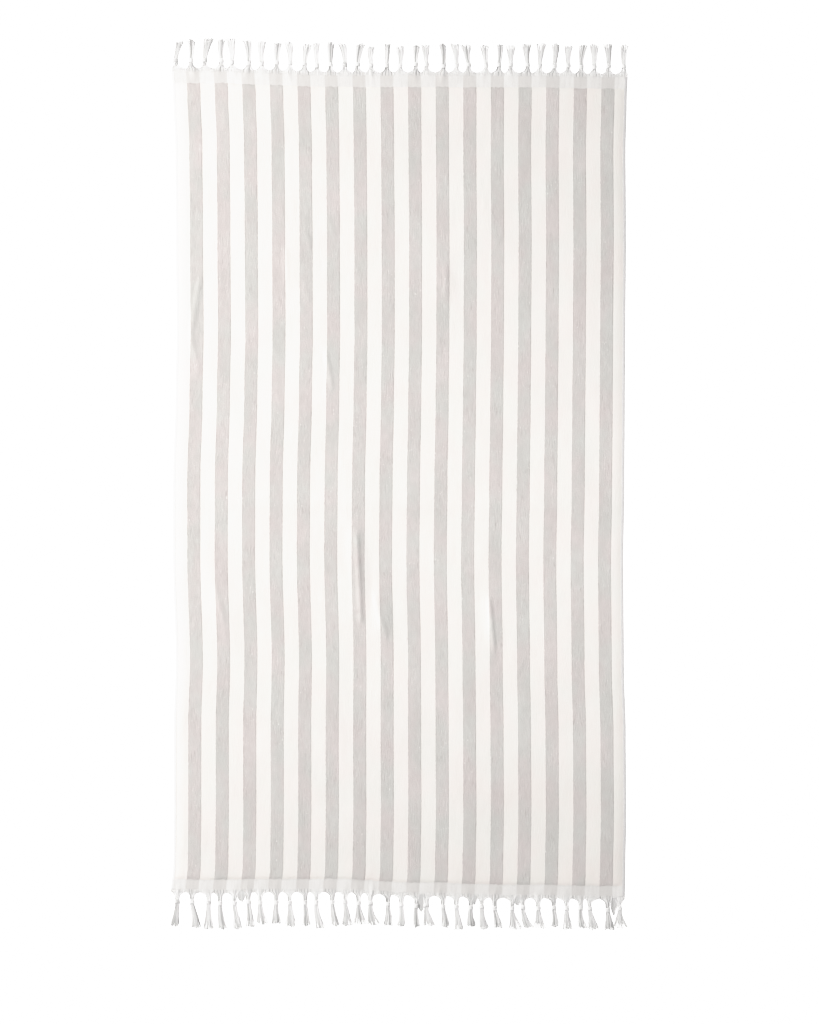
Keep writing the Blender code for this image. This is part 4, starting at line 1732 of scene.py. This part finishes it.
    def tassel(self, yarns: YarnMesh, index: int, sand: np.ndarray) -> None:
        """Adds one tassel's loose yarns and their frayed tips.

        Args:
            yarns: Where they go.
            index: The tassel's number from the left.
            sand: How much of the dark yarn colour, sand yarn with painted shade, each yarn has.
        """
        tassel = self.tassels[index]
        x0, y0 = self.middle(index)
        start = self.knot_start() + self.knot_depth
        bow = self.tassel_bow * math.sin(1.7 * index)
        t = np.linspace(0.0, 1.0, self.tassel_points)
        open_share = 0.30 * t + 0.70 * t**1.8
        line = x0 + tassel.lean * MM * t**self.lean_curve + bow * np.sin(np.pi * t)
        half_tip = self.flare * tassel.spread * MM / 2
        for k in range(self.yarns_in_tassel):
            s = 2.0 * (k + 0.5) / self.yarns_in_tassel - 1.0
            lock = math.floor((s + 1.0) * self.locks / 2)
            lock_middle = 2.0 * (lock + 0.5) / self.locks - 1.0
            s_tip = s + self.lock_pull * (lock_middle - s) + self.random.uniform(-0.08, 0.08)
            shorter = 0.025 * (1.0 + math.sin(2.4 * index + 1.9 * lock)) + self.random.uniform(0.0, 0.07)
            shorter += 0.05 * s**2
            out = start + (tassel.length * MM - start) * (1.0 - shorter) * t
            fan = self.knot_half * (1 - open_share) * s + half_tip * open_share * s_tip
            turns = self.random.uniform(0.5, 1.2) * t + self.random.random()
            curl = self.random.uniform(0.2, 0.8) * MM * np.sin(2 * math.pi * turns) * t
            layer = (k % 2) * self.layer_height * (1 - 0.45 * t) + self.random.uniform(0.0, 0.3) * MM
            z = self.yarn_radius + layer + self.root_rise * ease(1 - t / self.root_share)
            path = np.stack([line + fan + curl, y0 + self.end.outward * out, z], axis=-1)
            radii = self.yarn_radius * np.interp(t, [0.0, 0.7, 1.0], [1.0, 1.05, 0.8])
            yarns.add(path, radii, self.yarn_sides, sand[k], 0.9)
            self.fray(yarns, path, sand[k])
        for _ in range(self.wisps):
            self.wisp(yarns, line, y0, start, half_tip, tassel.length * MM)
        for stray in self.strays:
            if stray.tassel == index:
                tip = np.array([line[-1], y0 + self.end.outward * tassel.length * MM, 0.0])
                self.stray(yarns, tip, stray)

    def wisp(
        self, yarns: YarnMesh, line: np.ndarray, y0: float, start: float, half_tip: float, length: float
    ) -> None:
        """Adds one long loose fibre that drifts out of a tassel towards its tip.

        Args:
            yarns: Where it goes.
            line: The x of the tassel's middle, along its length.
            y0: The y of the cloth's end.
            start: The distance from there to where the tassel starts.
            half_tip: Half the width of its tip.
            length: The distance from the cloth's end to the tip.
        """
        t = np.linspace(self.wisp_start, 1.0, self.wisp_points)
        side = self.random.uniform(-1.0, 1.0)
        middle = np.interp(t, np.linspace(0.0, 1.0, len(line)), line)
        x = middle + side * (self.knot_half * (1.0 - t) + 1.4 * half_tip * t**1.6)
        out = start + (length * self.random.uniform(0.90, 1.03) - start) * t
        z = np.linspace(1.4, 0.4, len(t)) * MM
        path = np.stack([x, y0 + self.end.outward * out, z], axis=-1)
        radii = np.full_like(t, self.fibre_radius)
        yarns.add(path, radii, self.fibre_sides, self.random.uniform(0.0, 0.35))

    def stray(self, yarns: YarnMesh, tip: np.ndarray, stray: Stray) -> None:
        """Adds one yarn that bends away sideways at a tassel's tip.

        Args:
            yarns: Where it goes.
            tip: The middle of the tassel's tip.
            stray: Its row in the table.
        """
        t = np.linspace(0.0, 1.0, self.stray_points)
        x = tip[0] + stray.sideways * MM * t**1.4
        past = stray.past * MM * np.sin(np.pi * t / 2) - self.stray_start * (1 - t) ** 2
        y = tip[1] + self.end.outward * past
        path = np.stack([x, y, np.full_like(t, self.stray_level)], axis=-1)
        yarns.add(path, np.linspace(0.6, 0.4, self.stray_points) * MM, self.yarn_sides, 0.3)
        self.fray(yarns, path, 0.2)

    def fray(self, yarns: YarnMesh, path: np.ndarray, sand: float) -> None:
        """Adds the loose fibres at a yarn's tip.

        Args:
            yarns: Where they go.
            path: The yarn's middle line.
            sand: How much of the dark yarn colour, sand yarn with painted shade, the yarn has.
        """
        way = path[-1] - path[-3]
        way /= np.linalg.norm(way)
        t = np.linspace(0.0, 1.0, self.fibre_points)[:, None]
        for _ in range(self.fibres):
            spread = np.array([self.random.uniform(-0.9, 0.9), self.random.uniform(-0.1, 0.1), 0.0])
            length = self.random.uniform(*self.fibre_lengths)
            fibre = path[-1] - way * self.fibre_overlap + (way + spread * t) * length * t
            fibre[:, 2] = np.maximum(fibre[:, 2] * (1 - 0.5 * t[:, 0]), self.fibre_floor)
            radii = np.linspace(1.0, 0.35, len(t)) * self.fibre_radius
            yarns.add(fibre, radii, self.fibre_sides, sand)

    def build(self, weave: bpy.types.Material, yarn: bpy.types.Material) -> list[bpy.types.Object]:
        """Makes the whole fringe.

        Args:
            weave: The woven edge's finish.
            yarn: The yarns' finish.

        Returns:
            Its pieces.
        """
        gathers, knots, tassels = YarnMesh(), YarnMesh(), YarnMesh()
        for index in range(len(self.tassels)):
            sand = self.sand_and_shade_of_tassel(index)
            self.gathered(gathers, index)
            self.knot(knots, index, sand)
            self.tassel(tassels, index, sand)
        for lock in self.loose_locks:
            self.loose_lock(gathers, lock)
        return [
            self.woven_edge(weave),
            gathers.build(self.end.label + "_warp_ends", yarn),
            knots.build(self.end.label + "_knots", yarn),
            tassels.build(self.end.label + "_tassels", yarn),
        ]


@dataclass
class Towel:
    """The whole towel, dressed."""

    plan: TowelPlan

    def build(self) -> None:
        """Makes every piece and puts it on the frame."""
        effects = SharedEffects(self.plan)
        weave = WeaveFinish(
            name="flat_heading",
            white=(0.885, 0.868, 0.850, 1.0),
            sand=(0.765, 0.742, 0.722, 1.0),
            warp_pitch=0.9 * MM,
            weft_pitch=1.1 * MM,
            streaks=0.12,
        ).build(effects)
        hem = WeaveFinish(
            name="folded_hem",
            # The hem's white is a little greyer than the heading's: painted shade of its rolled edge
            white=(0.85, 0.838, 0.830, 1.0),
            sand=(0.83, 0.82, 0.81, 1.0),
            warp_pitch=0.8 * MM,
            weft_pitch=0.8 * MM,
            streaks=0.04,
        ).build(effects)
        yarn = YarnFinish("fringe_yarn").build(effects)
        thread = YarnFinish("hem_thread", turn=1.2 * MM).build(effects)
        materials = {
            Zone.PILE: PileFinish().build(effects),
            Zone.HEADING: weave,
            Zone.HEM: hem,
            Zone.BACK: BackFinish().build(effects),
        }
        cloth = Cloth(self.plan).build(materials)
        show(cloth, ("towel_cloth",))
        stitching = [
            HemStitching(self.plan).build("left_hem_stitching", True, thread),
            HemStitching(self.plan).build("right_hem_stitching", False, thread),
        ]
        for piece in stitching:
            show(piece, ())
        head = Fringe(
            plan=self.plan,
            end=End.HEAD,
            tassels=HEAD_TASSELS,
            strays=HEAD_STRAYS,
            tints=HEAD_TINTS,
            loose_locks=HEAD_LOCKS,
            gather=7.0 * MM,
            seed=21,
        )
        foot = Fringe(
            plan=self.plan,
            end=End.FOOT,
            tassels=FOOT_TASSELS,
            strays=FOOT_STRAYS,
            tints=FOOT_TINTS,
            loose_locks=FOOT_LOCKS,
            gather=13.0 * MM,
            seed=22,
        )
        fringes = []
        for fringe, node in ((head, "fringe_head_end"), (foot, "fringe_foot_end")):
            pieces = fringe.build(weave, yarn)
            for piece in pieces:
                show(piece, (node,))
            fringes += pieces


@dataclass
class Studio:
    """The pale floor, the soft light and the camera straight above."""

    floor_size: float = 30.0
    camera_height: float = 4.415
    camera_place: tuple = (0.0234, -0.0623)
    lens: float = 70.0
    sensor: float = 36.0
    room_light: float = 0.335
    brightest: float = 1.5

    def floor(self) -> None:
        """Lays the floor under the towel."""
        half = self.floor_size / 2
        mesh = bpy.data.meshes.new("floor")
        corners = [(-half, -half, 0), (half, -half, 0), (half, half, 0), (-half, half, 0)]
        mesh.from_pydata(corners, [], [(0, 1, 2, 3)])
        mesh.materials.append(FloorFinish().build())
        link("floor", mesh)

    def light(self, lamp: Lamp) -> None:
        """Adds a soft square light that faces the towel's middle.

        Args:
            lamp: Its row in the table.
        """
        data = bpy.data.lights.new(lamp.name, "AREA")
        data.shape = "SQUARE"
        data.size = lamp.size
        data.energy = lamp.power
        obj = link(lamp.name, data)
        obj.location = (lamp.x, lamp.y, lamp.z)
        obj.rotation_euler = (-obj.location).to_track_quat("-Z", "Y").to_euler()
        obj.visible_camera = False

    def surroundings(self) -> None:
        """Fills the room with even pale light."""
        world = bpy.data.worlds.new("pale_room")
        world.use_nodes = True
        background = world.node_tree.nodes["Background"]
        background.inputs["Color"].default_value = WHITE
        background.inputs["Strength"].default_value = self.room_light
        bpy.context.scene.world = world

    def soften_highlights(self) -> None:
        """Bends the brightest tones down softly, as a camera does."""
        view = bpy.context.scene.view_settings
        view.view_transform = "Standard"
        view.use_curve_mapping = True
        mapping = view.curve_mapping
        mapping.white_level = (self.brightest,) * 3
        mapping.extend = "HORIZONTAL"
        curve = mapping.curves[ALL_COLOURS]
        curve.points[0].location = (0.0, 0.0)
        curve.points[1].location = (1.0, 1.0)
        for tone in SHOULDER:
            curve.points.new(tone.light / self.brightest, tone.drawn)
        mapping.update()

    def camera(self) -> None:
        """Hangs the camera over the towel, level with it."""
        data = bpy.data.cameras.new("camera")
        data.lens = self.lens
        data.sensor_width = self.sensor
        obj = link("camera", data)
        obj.location = (*self.camera_place, self.camera_height)
        bpy.context.scene.camera = obj
        pixel = self.camera_height * self.sensor / self.lens / IMAGE_HEIGHT
        log.info("camera: %.3f mm to a pixel", pixel / MM)

    def build(self) -> None:
        """Sets the studio up."""
        self.camera()
        self.floor()
        self.surroundings()
        self.soften_highlights()
        for lamp in LAMPS:
            self.light(lamp)


def main() -> None:
    """Builds the studio and the towel."""
    logging.basicConfig(level=logging.INFO, format="%(name)s: %(message)s")
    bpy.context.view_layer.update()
    Studio().build()
    plan = TowelPlan()
    plan.fit_to_frame()
    Towel(plan).build()


if __name__ == "__main__":
    main()
